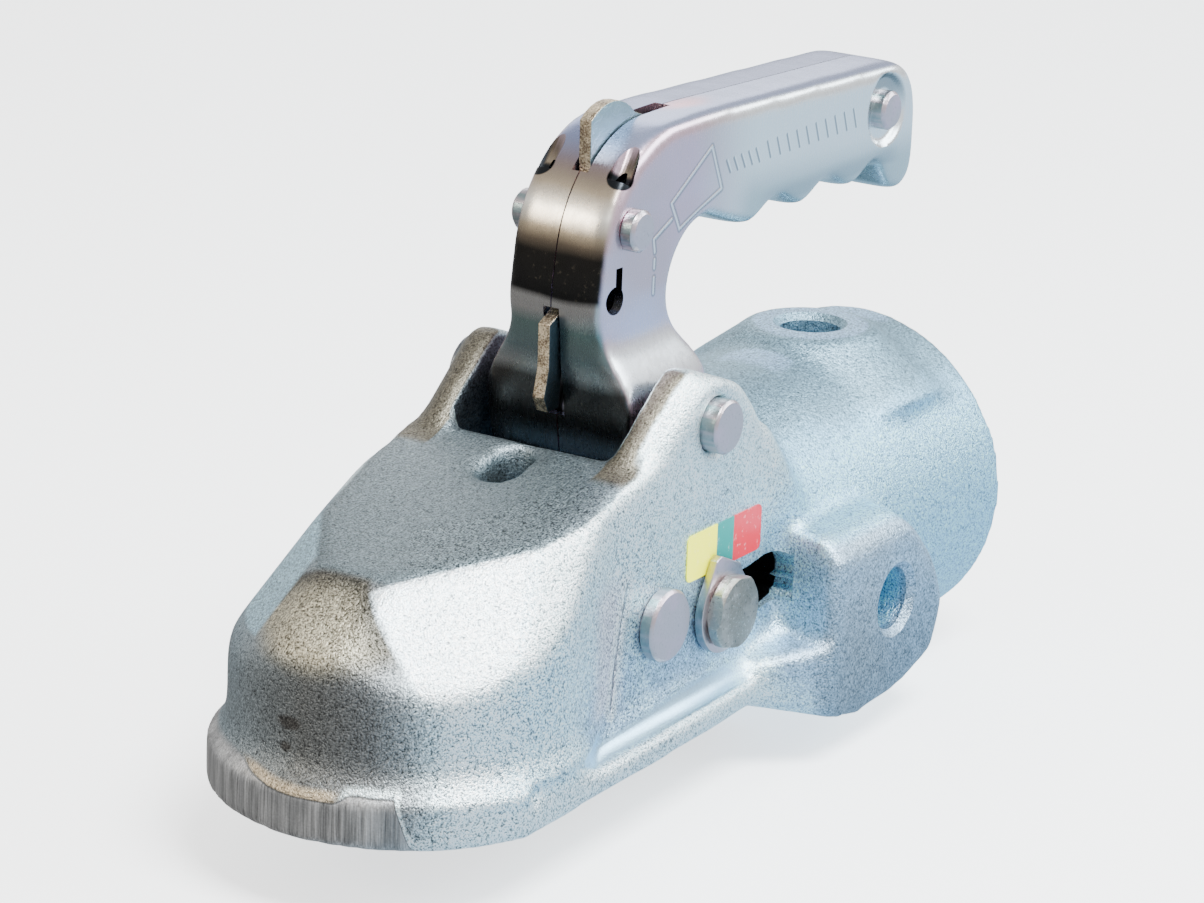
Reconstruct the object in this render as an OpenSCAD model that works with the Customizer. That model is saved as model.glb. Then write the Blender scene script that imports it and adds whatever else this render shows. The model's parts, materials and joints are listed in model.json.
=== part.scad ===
// Ball coupling head for a trailer drawbar. Millimetres.
// The origin is the centre of the tow ball, +X runs back along the drawbar and +Z is up.

/* [Ball and dome] */
// Diameter of the tow ball
ball_d = 50; // [48:0.5:51]
// Radial play between the ball and its socket
ball_play = 0.2; // [0.1:0.05:0.5]
// Radius of the lip around the mouth of the socket
lip_r = 41.5; // [40.5:0.5:44]
// Height of the trimmed band at the front of the lip
lip_h = 10.7; // [8:0.1:13]
// Depth of the lip's lower edge below the ball centre
lip_drop = 27.5; // [26:0.5:30]
// Radius of the dome wall at the ball's height
dome_r = 37.4; // [36:0.2:39]
// Distance from the ball centre to the front edge of the plateau
plateau_front = 21; // [18:0.5:24]
// Height of the plateau's front edge
plateau_h = 23; // [21.5:0.5:25]
// Rise of the plateau towards the handle, in degrees
plateau_rise = 10.9; // [8:0.1:12]
// Slope of the facet at the front of the dome, in degrees
front_slope = 36.3; // [30:0.5:42]
// Slope of the two side facets of the dome, in degrees
side_slope = 47.9; // [44:0.5:52]
// Slope of the broken edges beside the plateau, in degrees
edge_slope = 56.5; // [52:0.5:62]
// Height of the flange along the sides
flange_h = 5.5; // [4:0.5:7]

/* [Middle body and ears] */
// Width over the two ears
ear_span = 62; // [60:0.5:66]
// Width of the broken outer edge of the ears
ear_edge = 5; // [2:0.5:6]
// Width of the opening between the ears
opening_w = 42; // [41:0.5:44]
// Distance from the ball centre to the front edge of the opening
opening_front = 44; // [43:0.5:45]
// Distance from the ball centre to the rear edge of the opening
opening_rear = 88; // [86.5:0.5:90]
// Distance from the ball centre to the wall that closes the mechanism space
bulkhead_x = 103.5; // [103.2:0.1:105]
// Thickness of that wall
bulkhead_t = 4; // [3:0.5:6]
// Width over the flange where it meets the side blocks
flange_rear_w = 73.6; // [70:0.2:76]

/* [Drawbar socket] */
// Bore for the round drawbar
bore_d = 60.3; // [58:0.1:61]
// Outer diameter of the tube at its rim
tube_d = 78.5; // [75:0.5:80]
// Outer diameter of the tube where it leaves the middle body
tube_front_d = 74.6; // [73:0.2:76]
// Height of the tube's axis above the ball centre
tube_z = -5; // [-7:0.5:-3]
// Distance from the ball centre to the rim
tube_end = 189; // [185:1:195]
// Diameter of the two bolt holes
bolt_hole_d = 14.5; // [13:0.5:16.5]
// Distance from the ball centre to the vertical bolt hole
top_hole_x = 162; // [158:0.5:165]
// Distance from the ball centre to the cross bolt hole
cross_hole_x = 122; // [120:0.5:124]
// Height of the cross bolt hole
cross_hole_z = -11.5; // [-14:0.5:-9]
// Width over the two side blocks
block_span = 97; // [94:1:102]
// Height of the flat pad around the vertical hole
pad_z = 36; // [35:0.5:38]

/* [Handle] */
// Thickness of the pressed sheet
sheet_t = 2.2; // [1.8:0.1:2.6]
// Width over the grip and the neck
grip_w = 25; // [24:0.5:27]
// Width over the foot between the ears
foot_w = 38; // [37:0.5:39]
// Height of the grip's top edge at the shoulder
grip_top = 101.2; // [98:0.2:106]
// Distance from the ball centre to the rear end of the grip
grip_end = 187; // [180:1:200]
// Gap between the two shells along the seam
seam_gap = 0.3; // [0.1:0.1:0.8]
// How far the handle opens, in degrees
handle_open = 35; // [25:1:35]

/* [Pins and rivets] */
// Distance from the ball centre to the handle's pivot
pivot_x = 67.7; // [67:0.1:68.5]
// Height of the handle's pivot
pivot_z = 39.5; // [39:0.1:40]
// Diameter of the pivot pin
pivot_d = 12; // [10:0.5:13]
// Play of the handle on the pivot pin
pivot_play = 0.05; // [0.02:0.01:0.1]
// Distance from the ball centre to the front pin
guide_x = 46.9; // [46:0.1:48]
// Height of the front pin
guide_z = 0.2; // [-0.5:0.1:1]
// Diameter of the front pin
guide_d = 8; // [6:0.5:9]
// Diameter of the heads of the front pin and of the indicator bolt
head_d = 16; // [14:0.5:17]
// Thickness of those heads
head_t = 3.6; // [3:0.1:4.5]
// Diameter of the indicator bolt
bolt_d = 10; // [8:0.5:10.5]
// Distance from the ball centre to the indicator bolt with the handle closed
bolt_x = 71.3; // [71:0.1:72]
// Height of the indicator bolt and of its slot
bolt_z = -3; // [-3.5:0.1:-2.5]
// How far the bolt and the jaw move back when the handle opens
bolt_travel = 14; // [12:0.5:14.5]
// Distance from the ball centre to the rear end of the indicator slot
slot_rear_x = 96; // [95.5:0.5:98]
// Diameter of the rivets in the handle
rivet_d = 6; // [4:0.5:7]
// Diameter of the rivet heads
rivet_head_d = 9.2; // [8.6:0.2:11]
// Distance from the ball centre to the neck rivet
neck_x = 60.2; // [59.5:0.1:61]
// Distance of the neck rivet below the grip's top edge
neck_drop = 20.2; // [19.6:0.2:20.8]
// Distance from the ball centre to the end rivet
end_rivet_x = 171; // [165:0.5:173]
// Distance of the end rivet below the grip's top edge
end_rivet_drop = 13.6; // [12.6:0.2:14.2]

/* [Mechanism] */
// Thickness of each cam plate
cam_t = 4; // [3:0.5:4.5]
// Distance between the two cam plates
cam_gap = 19; // [18.5:0.5:21]
// Width of the wall of a cam plate around its track
cam_wall = 2.6; // [2:0.1:2.8]
// Play of the bolt in the cam track
track_play = 0.15; // [0.1:0.05:0.3]
// Width of the jaw
jaw_w = 28; // [24:1:32]
// How far the closed jaw reaches into the empty ball space
jaw_reach = 2; // [1:0.25:3]
// Thickness of the safety catch
catch_t = 3; // [2.5:0.25:3.5]
// Angle that the catch turns when it is pressed, in degrees
catch_turn = 6; // [3:1:7]
// Wire diameter of the handle's spring
spring_wire = 3; // [2.4:0.1:3]
// Turns of the handle's spring
spring_turns = 4; // [3:1:4]
// Depth of the round dish around the end rivet
dish_depth = 1.6; // [1:0.1:2]
// Height of the rivet heads
rivet_head_h = 3.2; // [2.4:0.1:3.6]

/* [Indicator] */
// Length of the colour label
label_w = 31; // [26:1:34]
// Height of the colour label
label_h = 10.5; // [8:0.5:12]
// Thickness of the colour label
label_t = 0.25; // [0.2:0.05:0.3]
// Thickness of the pointer
pointer_t = 2; // [1.5:0.1:2.4]
// Distance from the bolt's centre to the pointer's tip
pointer_tip = 12.5; // [11:0.5:13.5]

/* [Hidden] */

eps = 0.01;
big = 400;
smooth = 96;
seat = 0.3;
ear_y = ear_span / 2;
opening_y = opening_w / 2;
socket_r = ball_d / 2 + ball_play;
block_y = block_span / 2;
flange_y = lip_r - 2.2;
flange_rear_y = flange_rear_w / 2;
dome_x = -1.5;
waist_x = 31;
flange_end_x = 82;
foot_y = foot_w / 2;
grip_y = grip_w / 2;
cam_y0 = cam_gap / 2;
cam_y1 = cam_y0 + cam_t;
arm_z = bolt_z - pivot_z;
arm_x = bolt_x - pivot_x;
slot_h = bolt_d + 1;
neck_front_x = pivot_x - 19;
label_x0 = bolt_x - 13.5;
label_z0 = bolt_z + 9;
pointer_y = ear_y + label_t + 0.25;
sleeve_r = bolt_d / 2 + 2.2;
sleeve_y0 = cam_y1 + 0.3;
sleeve_y1 = opening_y - 0.3;
spring_r = pivot_d / 2 + 3.2 + spring_wire / 2;
eye_r = bolt_d / 2 + 4;
dish_r = rivet_head_d / 2 + 4;
neck_z = grip_top - neck_drop;
end_rivet_z = grip_top - end_rivet_drop;
pointer_r = head_d / 2 + 1.8;
flare_x = max(opening_rear, label_x0 + label_w) + 0.4;
edge_front = [-plateau_front, 0, plateau_h];

// Points of an arc in the plane of the two coordinates.
function arc(x, z, r, a0, a1, n) =
    [for (i = [0 : n]) let (a = a0 + (a1 - a0) * i / n) [x + r * cos(a), z + r * sin(a)]];

// A point turned about the pivot by an angle that is positive when the grip rises.
function turned(p, a) = [p[0] * cos(a) - p[1] * sin(a), p[0] * sin(a) + p[1] * cos(a)];

// The bolt's centre seen from the cam, for a share t of the opening movement.
function track_point(t) = turned([arm_x + bolt_travel * t, arm_z], -handle_open * t);

// Direction of the track at a share t, as an angle.
function track_angle(t) =
    let (a = track_point(t - 0.01), b = track_point(t + 0.01)) atan2(b[1] - a[1], b[0] - a[0]);

// Outline of a band of half-width r along the track, with round ends.
function track_band(r) =
    let (n = 12)
    concat(
        [for (i = [0 : n]) let (p = track_point(i / n), a = track_angle(i / n))
            [p[0] - r * sin(a), p[1] + r * cos(a)]],
        [for (i = [1 : 9]) let (p = track_point(1), a = track_angle(1) + 90 - 18 * i)
            [p[0] + r * cos(a), p[1] + r * sin(a)]],
        [for (i = [0 : n]) let (p = track_point(1 - i / n), a = track_angle(1 - i / n))
            [p[0] + r * sin(a), p[1] - r * cos(a)]],
        [for (i = [1 : 9]) let (p = track_point(0), a = track_angle(0) - 90 - 18 * i)
            [p[0] + r * cos(a), p[1] + r * sin(a)]]);

// Extrudes a drawing of the side view, x across and z up, from y0 to y1.
module side_plate(y0, y1) {
    translate([0, y1, 0]) rotate([90, 0, 0]) linear_extrude(height = y1 - y0) children();
}

// Extrudes a drawing of the front view, y across and z up, from x0 to x1.
module front_plate(x0, x1) {
    translate([x0, 0, 0]) rotate([90, 0, 90]) linear_extrude(height = x1 - x0) children();
}

// Cylinder along Y from y0 to y1.
module bar_y(x, z, r, y0, y1) {
    translate([x, y1, z]) rotate([90, 0, 0]) cylinder(r = r, h = y1 - y0, $fn = smooth);
}

// Bar along Y with a small chamfer at both ends.
module pin_y(x, z, r, y0, y1, c) {
    translate([x, y1, z]) rotate([90, 0, 0]) rotate_extrude($fn = smooth)
        polygon([[0, 0], [r - c, 0], [r, c], [r, y1 - y0 - c], [r - c, y1 - y0], [0, y1 - y0]]);
}

// Everything on the outer side of a plane through p that leans towards dir by slope.
module beyond(p, dir, slope) {
    translate(p) rotate([0, 0, dir]) rotate([0, slope, 0])
        translate([-big / 2, -big / 2, 0]) cube(big);
}

// Plan view of the lip and flange.
module flange_plan() {
    intersection() {
        union() {
            translate([dome_x, 0]) circle(r = lip_r, $fn = smooth);
            polygon([[dome_x, -lip_r], [flange_end_x, -flange_rear_y], [flange_end_x, flange_rear_y],
                     [dome_x, lip_r]]);
        }
        polygon([[-big, -flange_y], [0, -flange_y], [flange_end_x, -flange_rear_y],
                 [flange_end_x, flange_rear_y], [0, flange_y], [-big, flange_y]]);
    }
}

// Plan view of the dome wall, which draws in behind the ball.
module wall_plan() {
    translate([dome_x, 0]) circle(r = dome_r, $fn = smooth);
    polygon([[dome_x, -dome_r], [8, -dome_r + 1.5], [20, -dome_r + 4.2], [waist_x, 1 - ear_y],
             [waist_x + 20, 1 - ear_y], [waist_x + 20, ear_y - 1], [waist_x, ear_y - 1],
             [20, dome_r - 4.2], [8, dome_r - 1.5], [dome_x, dome_r]]);
}

// The dome over the ball with its plateau, three facets and the broken edges beside the plateau.
module dome() {
    corner = [-12.3, 14.9, plateau_h + 1.6];
    difference() {
        translate([0, 0, -lip_drop]) linear_extrude(height = lip_drop + 60) wall_plan();
        beyond(edge_front, 180, plateau_rise);
        beyond(edge_front, 180, front_slope);
        for (side = [-1, 1])
            beyond([corner[0], side * corner[1], corner[2]], side * 134.6, side_slope);
        beyond([0, plateau_h - 1.6, 30], 110.3, edge_slope);
        beyond([0, 1.6 - plateau_h, 34.5], -110.3, edge_slope);
    }
}

// Lip band at the front and the thinner flange along the sides.
module lip_and_flange() {
    translate([0, 0, -lip_drop]) linear_extrude(height = flange_h) flange_plan();
    translate([0, 0, -lip_drop]) linear_extrude(height = lip_h) intersection() {
        translate([dome_x, 0]) circle(r = lip_r, $fn = smooth);
        polygon([[-big, -big], [-13, -big], [-13, big], [-big, big]]);
    }
    translate([dome_x, 0, lip_h - lip_drop])
        cylinder(r1 = lip_r - 0.8, r2 = dome_r - 0.5, h = 4.5, $fn = smooth);
    intersection() {
        translate([0, 0, -lip_drop]) linear_extrude(height = 30) flange_plan();
        union() {
            translate([dome_x, 0, flange_h - lip_drop])
                cylinder(r1 = lip_r - 1.2, r2 = dome_r - 0.5, h = 7, $fn = smooth);
            for (side = [0, 1]) mirror([0, side, 0]) front_plate(-2, opening_rear)
                polygon([[0, -lip_drop], [flange_rear_y, -lip_drop], [flange_rear_y, flange_h - lip_drop],
                         [ear_y + 2.2, flange_h - lip_drop + 2], [ear_y, flange_h - lip_drop + 7.5],
                         [0, flange_h - lip_drop + 7.5]]);
        }
    }
}

// Side view of the middle body with the ears.
module ear_outline() {
    polygon(concat([[28, -lip_drop], [28, 27], [35.6, 32.6], [48.4, 43.4]],
        arc(pivot_x - 5.7, pivot_z + 6.3, 6.4, 128, 63, 6),
        arc(pivot_x + 7.5, pivot_z - 5, 12.6, 56, 6, 6),
        [[102, 30], [102, -lip_drop]]));
}

// Middle body between the dome and the tube.
module middle_body() {
    difference() {
        side_plate(-ear_y, ear_y) ear_outline();
        difference() {
            beyond(edge_front, 180, plateau_rise);
            for (side = [-1, 1])
                translate([-big / 2, side < 0 ? -opening_y - 100 : opening_y, -big / 2])
                    cube([big, 100, big]);
        }
        for (side = [-1, 1]) {
            intersection() {
                beyond([48.4, side * (ear_y - ear_edge), 43.4], side * 122.8, 57.3);
                beyond(edge_front, 180, plateau_rise);
            }
            beyond([64, side * (ear_y - 0.7 * ear_edge), 52.1], side * 90, 45);
            beyond([82.2, side * (ear_y - 0.6 * ear_edge), 44.9], side * 54.7, 60);
        }
    }
    bar_y(pivot_x, pivot_z, pivot_d / 2 + 3.8, -ear_y - 0.6, ear_y + 0.6);
    bar_y(guide_x, guide_z, head_d / 2 + 1.6, -ear_y, ear_y);
}

// Tube for the drawbar, drawn out of the middle body.
module tube() {
    translate([106, 0, tube_z]) rotate([0, 90, 0])
        cylinder(d1 = tube_front_d, d2 = tube_d, h = tube_end - 106, $fn = smooth);
    hull() {
        translate([flare_x, -ear_y, -lip_drop]) cube([1, ear_span, lip_drop + 33]);
        translate([105, 0, tube_z]) rotate([0, 90, 0]) cylinder(d = tube_front_d, h = 1, $fn = 48);
    }
    intersection() {
        translate([top_hole_x, 0, pad_z - 14]) cylinder(r1 = 33, r2 = 14.5, h = 14, $fn = smooth);
        translate([0, -big / 2, 0]) cube([tube_end - 3, big, big]);
    }
}

// Blocks on both sides that carry the cross bolt.
module side_blocks() {
    low = cross_hole_z - 21.5;
    intersection() {
        side_plate(-block_y, block_y)
            polygon([[90, low + 1], [94, low + 0.9], [107.8, low - 2.8], [128.5, low - 1.2],
                     [142.4, low + 3.4], [146.8, low + 14.4], [146, low + 17.2],
                     [141.5, low + 26], [130, low + 38], [126, low + 42], [90, low + 42]]);
        translate([0, 0, -60]) linear_extrude(height = 120)
            polygon([[97, -30], [94.5, 1 - block_y], [95.5, -block_y], [160, -block_y],
                     [160, block_y], [95.5, block_y], [94.5, block_y - 1], [97, 30]]);
        front_plate(70, 170)
            polygon([[-block_y, -60], [-block_y, low + 37], [-block_y + 4, low + 41],
                     [-34, low + 50], [34, low + 50], [block_y - 4, low + 41],
                     [block_y, low + 37], [block_y, -60]]);
    }
    intersection() {
        side_plate(-block_y, block_y)
            polygon([[flange_end_x - 4, -lip_drop], [94.5, low + 0.9], [100, low], [100, low + 21],
                     [94.5, low + 18], [flange_end_x - 4, flange_h - lip_drop + 3]]);
        translate([0, 0, -60]) linear_extrude(height = 120)
            polygon([[flange_end_x - 4, -30], [flange_end_x, -flange_rear_y], [94.5, -block_y],
                     [100, -block_y], [100, block_y], [94.5, block_y], [flange_end_x, flange_rear_y],
                     [flange_end_x - 4, 30]]);
    }
}

// Space for the ball, the jaw and the linkage, open below and between the ears.
module mechanism_space() {
    sphere(r = socket_r, $fn = smooth);
    translate([0, 0, -lip_drop - 1]) cylinder(r = socket_r, h = lip_drop + 1, $fn = smooth);
    translate([0, 0, -lip_drop - eps]) cylinder(r1 = socket_r + 3, r2 = socket_r, h = 6, $fn = smooth);
    side_plate(-opening_y, opening_y)
        polygon([[19, -lip_drop - 20], [19, 12], [30, 21], [opening_front, 26],
                 [opening_front, 90], [opening_rear, 90], [opening_rear, 27], [bulkhead_x, 23],
                 [bulkhead_x, -lip_drop - 20]]);
    translate([30.8, 0, 15]) cylinder(r = 4.3, h = 30, $fn = smooth);
    translate([37.2, 0, 15]) cylinder(r = 4.3, h = 30, $fn = smooth);
    translate([30.8, -4.3, 15]) cube([6.4, 8.6, 30]);
}

// Slots in both side walls for the indicator bolt, with a toothed rear end.
module indicator_slot() {
    side_plate(-ear_y - 4.5, ear_y + 4.5)
        polygon(concat(arc(bolt_x - 0.7, bolt_z, slot_h / 2, 270, 90, 12),
            [[slot_rear_x - 5, bolt_z + slot_h / 2 + 1.2], [slot_rear_x - 2, bolt_z + slot_h / 2 + 0.6],
             [slot_rear_x, bolt_z + 3], [slot_rear_x - 1.6, bolt_z + 1.2], [slot_rear_x + 0.4, bolt_z - 1.2],
             [slot_rear_x - 1.4, bolt_z - slot_h / 2]]));
}

// Flat pockets in the flare, where the pointer and the bolt's ends stand when the handle is open.
module slot_pockets() {
    x1 = bolt_x + bolt_travel + pointer_r + 0.4;
    for (side = [0, 1]) mirror([0, side, 0])
        translate([flare_x - 1, ear_y + 0.1, bolt_z - pointer_r - 0.4])
            cube([x1 - flare_x + 1, 7, pointer_r + pointer_tip + 1.6]);
}

// Bore for the drawbar and its two bolt holes.
module drawbar_bores() {
    translate([bulkhead_x + bulkhead_t, 0, tube_z]) rotate([0, 90, 0])
        cylinder(d = bore_d, h = 200, $fn = smooth);
    translate([tube_end - 1.5, 0, tube_z]) rotate([0, 90, 0])
        cylinder(d1 = bore_d, d2 = bore_d + 3.2, h = 1.6, $fn = smooth);
    translate([top_hole_x, 0, -80]) cylinder(d = bolt_hole_d, h = 160, $fn = smooth);
    bar_y(cross_hole_x, cross_hole_z, bolt_hole_d / 2, -80, 80);
}

module housing() {
    color("LightSteelBlue") difference() {
        union() {
            dome();
            lip_and_flange();
            middle_body();
            tube();
            side_blocks();
        }
        mechanism_space();
        indicator_slot();
        slot_pockets();
        drawbar_bores();
        bar_y(pivot_x, pivot_z, pivot_d / 2, -80, 80);
        bar_y(guide_x, guide_z, guide_d / 2, -80, 80);
    }
}

// Side view of the closed handle: foot, neck, shoulder and grip with finger hollows.
module handle_outline() {
    gx = 112;
    pitch = 23;
    under = grip_top - 27.6;
    polygon(concat(
        [[pivot_x - 13.4, pivot_z - 10], [neck_front_x, pivot_z + 22], [neck_front_x, pivot_z + 26],
         [neck_front_x + 1.6, pivot_z + 38]],
        arc(pivot_x + 12.5, grip_top - 31, 31, 158, 98, 9),
        [[pivot_x + 25, grip_top - 0.1], [grip_end - 13, grip_top - 3.2]],
        arc(grip_end - 12, grip_top - 15.2, 12, 80, 0, 6),
        [[grip_end, grip_top - 25]],
        arc(grip_end - 6.5, grip_top - 27.7, 6.5, -10, -105, 6),
        [[grip_end - 10.8, grip_top - 32.6], [grip_end - 13.2, grip_top - 29.4],
         [grip_end - 15.2, grip_top - 27.3]],
        [for (i = [20 : -1 : 0]) let (x = gx + pitch * i / 8)
            [x, under - 1.4 * cos(360 * (x - gx) / pitch)]],
        [[104, under + 0.2]],
        arc(pivot_x + 25.5, grip_top - 39.2, 15.2, 88, 178, 8),
        [[pivot_x + 12.4, pivot_z + 16], [pivot_x + 16.6, pivot_z + 10.5],
         [pivot_x + 18, pivot_z + 5.5]],
        arc(pivot_x, pivot_z, 12.6, 0, -125, 10)));
}

// Front view of the handle: wide foot, hollow flare and straight neck.
module handle_front_outline(inset) {
    f = foot_y - inset;
    g = grip_y - inset;
    half = concat([[f - 1, 20], [f, 44], [f - 0.6, 47]],
                  arc(f + 3.2, 59.2, f + 3.2 - g, 222, 182, 6), [[g, 140]]);
    polygon(concat(half, [for (i = [len(half) - 1 : -1 : 0]) [-half[i][0], half[i][1]]]));
}

// Both shells as one closed skin, before it is split along the seam.
module handle_skin() {
    difference() {
        intersection() {
            side_plate(-foot_y, foot_y) handle_outline();
            front_plate(0, 250) handle_front_outline(0);
        }
        intersection() {
            side_plate(-foot_y, foot_y) offset(delta = -sheet_t) handle_outline();
            front_plate(0, 250) handle_front_outline(sheet_t);
        }
        side_plate(sheet_t - foot_y, foot_y - sheet_t)
            polygon([[pivot_x - 11, 20], [pivot_x - 11, pivot_z - 4], [pivot_x, pivot_z + 8.5],
                     [pivot_x + 30, pivot_z + 8.5], [pivot_x + 30, 20]]);
    }
    for (side = [0, 1]) mirror([0, side, 0])
        bar_y(end_rivet_x, end_rivet_z, dish_r, grip_y - sheet_t - dish_depth, grip_y - sheet_t + eps);
}

// Openings that both shells share.
module handle_cuts() {
    side_plate(-catch_t / 2 - 0.5, catch_t / 2 + 0.5)
        polygon([[neck_front_x - 6, pivot_z - 4], [neck_front_x - 6, pivot_z + 24.6],
                 [neck_front_x + 5, pivot_z + 24.6], [neck_front_x + 8, pivot_z - 4]]);
    side_plate(-catch_t / 2 - 0.5, catch_t / 2 + 0.5)
        polygon([[neck_x - 1.8, neck_z + 7], [neck_x - 1.8, neck_z + 40],
                 [neck_x + 30.8, neck_z + 40], [neck_x + 30.8, neck_z + 7]]);
    for (side = [-1, 1])
        translate([neck_x - 0.8, side * (grip_y - 2), neck_z + 14]) rotate([0, 35, 0])
            cylinder(r = 3.1, h = 16, center = true, $fn = 32);
    bar_y(pivot_x - 13, pivot_z + 26.9, 3.1, -30, 30);
    translate([pivot_x - 13, -30, pivot_z + 26.9]) cube([2.4, 60, 7]);
    bar_y(pivot_x, pivot_z, pivot_d / 2 + pivot_play, -30, 30);
    bar_y(neck_x, neck_z, rivet_d / 2, -30, 30);
    bar_y(end_rivet_x, end_rivet_z, rivet_d / 2, -30, 30);
    for (side = [0, 1]) mirror([0, side, 0])
        translate([end_rivet_x, grip_y + eps, end_rivet_z]) rotate([90, 0, 0])
            cylinder(r1 = dish_r, r2 = dish_r - 1.4, h = dish_depth + eps, $fn = smooth);
}

// One shell: the half of the skin on the given side of the seam.
module handle_shell(side) {
    difference() {
        intersection() {
            handle_skin();
            translate([0, side < 0 ? -big - seam_gap / 2 : seam_gap / 2, 0]) cube(big);
        }
        handle_cuts();
    }
}

module handle_left_shell() {
    color("Silver") handle_shell(1);
}

module handle_right_shell() {
    color("Silver") handle_shell(-1);
}

module handle_pivot_pin() {
    color("Gainsboro") difference() {
        pin_y(pivot_x, pivot_z, pivot_d / 2, -ear_y - 3.6, ear_y + 3.6, 0.6);
        ring_groove(pivot_x, pivot_z, pivot_d / 2);
    }
}

// Groove for a retaining ring behind the far wall.
module ring_groove(x, z, r) {
    difference() {
        bar_y(x, z, r + 1, ear_y + 1, ear_y + 2.3);
        bar_y(x, z, r - 1, ear_y, ear_y + 4);
    }
}

// Open retaining ring that sits in that groove.
module retaining_ring(x, z, r) {
    difference() {
        bar_y(x, z, r + 2.2, ear_y + 1.1, ear_y + 2.2);
        bar_y(x, z, r - 0.95, ear_y, ear_y + 4);
        translate([x - r / 2, ear_y, z - 3 * r]) cube([r, 5, 3 * r]);
    }
}

module pivot_pin_ring() {
    color("DimGray") retaining_ring(pivot_x, pivot_z, pivot_d / 2);
}

// Side view of one cam plate: hub on the pivot, arm down to the track, heel behind the foot's front.
module cam_outline() {
    low = track_point(1);
    high = track_point(0);
    translate([pivot_x, pivot_z]) {
        circle(r = pivot_d / 2 + 4.2, $fn = smooth);
        polygon(track_band(bolt_d / 2 + track_play + cam_wall));
        polygon([[-9.5, 3], [low[0] - 6, low[1] + 4], [high[0] + 4.5, high[1] + 6], [8, 2]]);
        polygon([[-10.6, -6], [-13.1, 8.5], [-2, 9.5], [0, 0]]);
    }
}

module operating_cam() {
    color("Gray") difference() {
        union() {
            for (side = [0, 1]) mirror([0, side, 0]) side_plate(cam_y0, cam_y1) cam_outline();
            side_plate(-cam_y1, cam_y1) translate([pivot_x - 4.7, pivot_z - 29.5]) square([8, 4.5]);
        }
        bar_y(pivot_x, pivot_z, pivot_d / 2 + pivot_play, -30, 30);
        side_plate(-30, 30) translate([pivot_x, pivot_z]) polygon(track_band(bolt_d / 2 + track_play));
    }
}

// Bush around the pivot pin between the cam plates; the spring lies on it.
module cam_bush() {
    color("Peru") difference() {
        bar_y(pivot_x, pivot_z, pivot_d / 2 + 2.6, -cam_y0 + 0.1, cam_y0 - 0.1);
        bar_y(pivot_x, pivot_z, pivot_d / 2 + pivot_play, -30, 30);
    }
}

// Points of the handle spring: leg behind the jaw's eye, coil, leg under the roof.
function spring_path() =
    let (n = 12, y0 = 0.4 + spring_wire / 2 - cam_y0, y1 = -y0,
         reach = eye_r + spring_wire / 2 + seat, total = 360 * spring_turns + 275, steps = n * total / 360)
    concat(
        [[bolt_x + reach * cos(35), y0, bolt_z + reach * sin(35)],
         [pivot_x + spring_r + 0.6, y0, pivot_z - 14]],
        [for (i = [0 : steps])
            let (a = -5 + total * i / steps)
            [pivot_x + spring_r * cos(a), y0 + (y1 - y0) * i / steps, pivot_z + spring_r * sin(a)]],
        [[bulkhead_x - 5.5, y1, pivot_z - spring_r - 8.2]]);

// Sweeps a round wire of radius r with k sides along a path.
module wire(path, r, k) {
    n = len(path);
    tangent = [for (i = [0 : n - 1])
        let (d = path[min(i + 1, n - 1)] - path[max(i - 1, 0)]) d / norm(d)];
    across = [for (t = tangent) let (c = cross(t, [0, 1, 0.001])) c / norm(c)];
    points = [for (i = [0 : n - 1], j = [0 : k - 1])
        path[i] + r * (cos(360 * j / k) * across[i] + sin(360 * j / k) * cross(tangent[i], across[i]))];
    sides = [for (i = [0 : n - 2], j = [0 : k - 1], s = [0, 1])
        let (a = i * k + j, b = i * k + (j + 1) % k)
        s == 0 ? [a, b, b + k] : [a, b + k, a + k]];
    polyhedron(points = points, faces = concat(sides,
        [[for (j = [k - 1 : -1 : 0]) j]], [[for (j = [0 : k - 1]) (n - 1) * k + j]]));
}

module handle_spring() {
    color("SlateGray") wire(spring_path(), spring_wire / 2, 8);
}

// Rivet through both shells; its heads lie at a distance y from the seam.
module shell_rivet(x, z, y) {
    r = rivet_head_d / 2;
    translate([x, 0, z]) rotate([90, 0, 0]) rotate_extrude($fn = smooth)
        polygon([[0, -y - rivet_head_h], [r - 0.8, -y - rivet_head_h], [r, -y - rivet_head_h + 0.8],
                 [r, -y], [rivet_d / 2, -y], [rivet_d / 2, y], [r, y],
                 [r, y + rivet_head_h - 0.8], [r - 0.8, y + rivet_head_h], [0, y + rivet_head_h]]);
}

// Tube on a rivet that holds the two shells y apart from the seam.
module shell_spacer(x, z, r, y) {
    difference() {
        bar_y(x, z, r, -y, y);
        bar_y(x, z, rivet_d / 2, -30, 30);
    }
}

module neck_rivet() {
    color("Gainsboro") shell_rivet(neck_x, neck_z, grip_y);
}

module neck_spacer() {
    color("Gray") shell_spacer(neck_x, neck_z, rivet_d / 2 + 2, grip_y - sheet_t);
}

module end_rivet() {
    color("Gainsboro") shell_rivet(end_rivet_x, end_rivet_z, grip_y - dish_depth);
}

module end_spacer() {
    color("Gray") shell_spacer(end_rivet_x, end_rivet_z, rivet_d / 2 + 2.5, grip_y - sheet_t - dish_depth);
}

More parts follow.
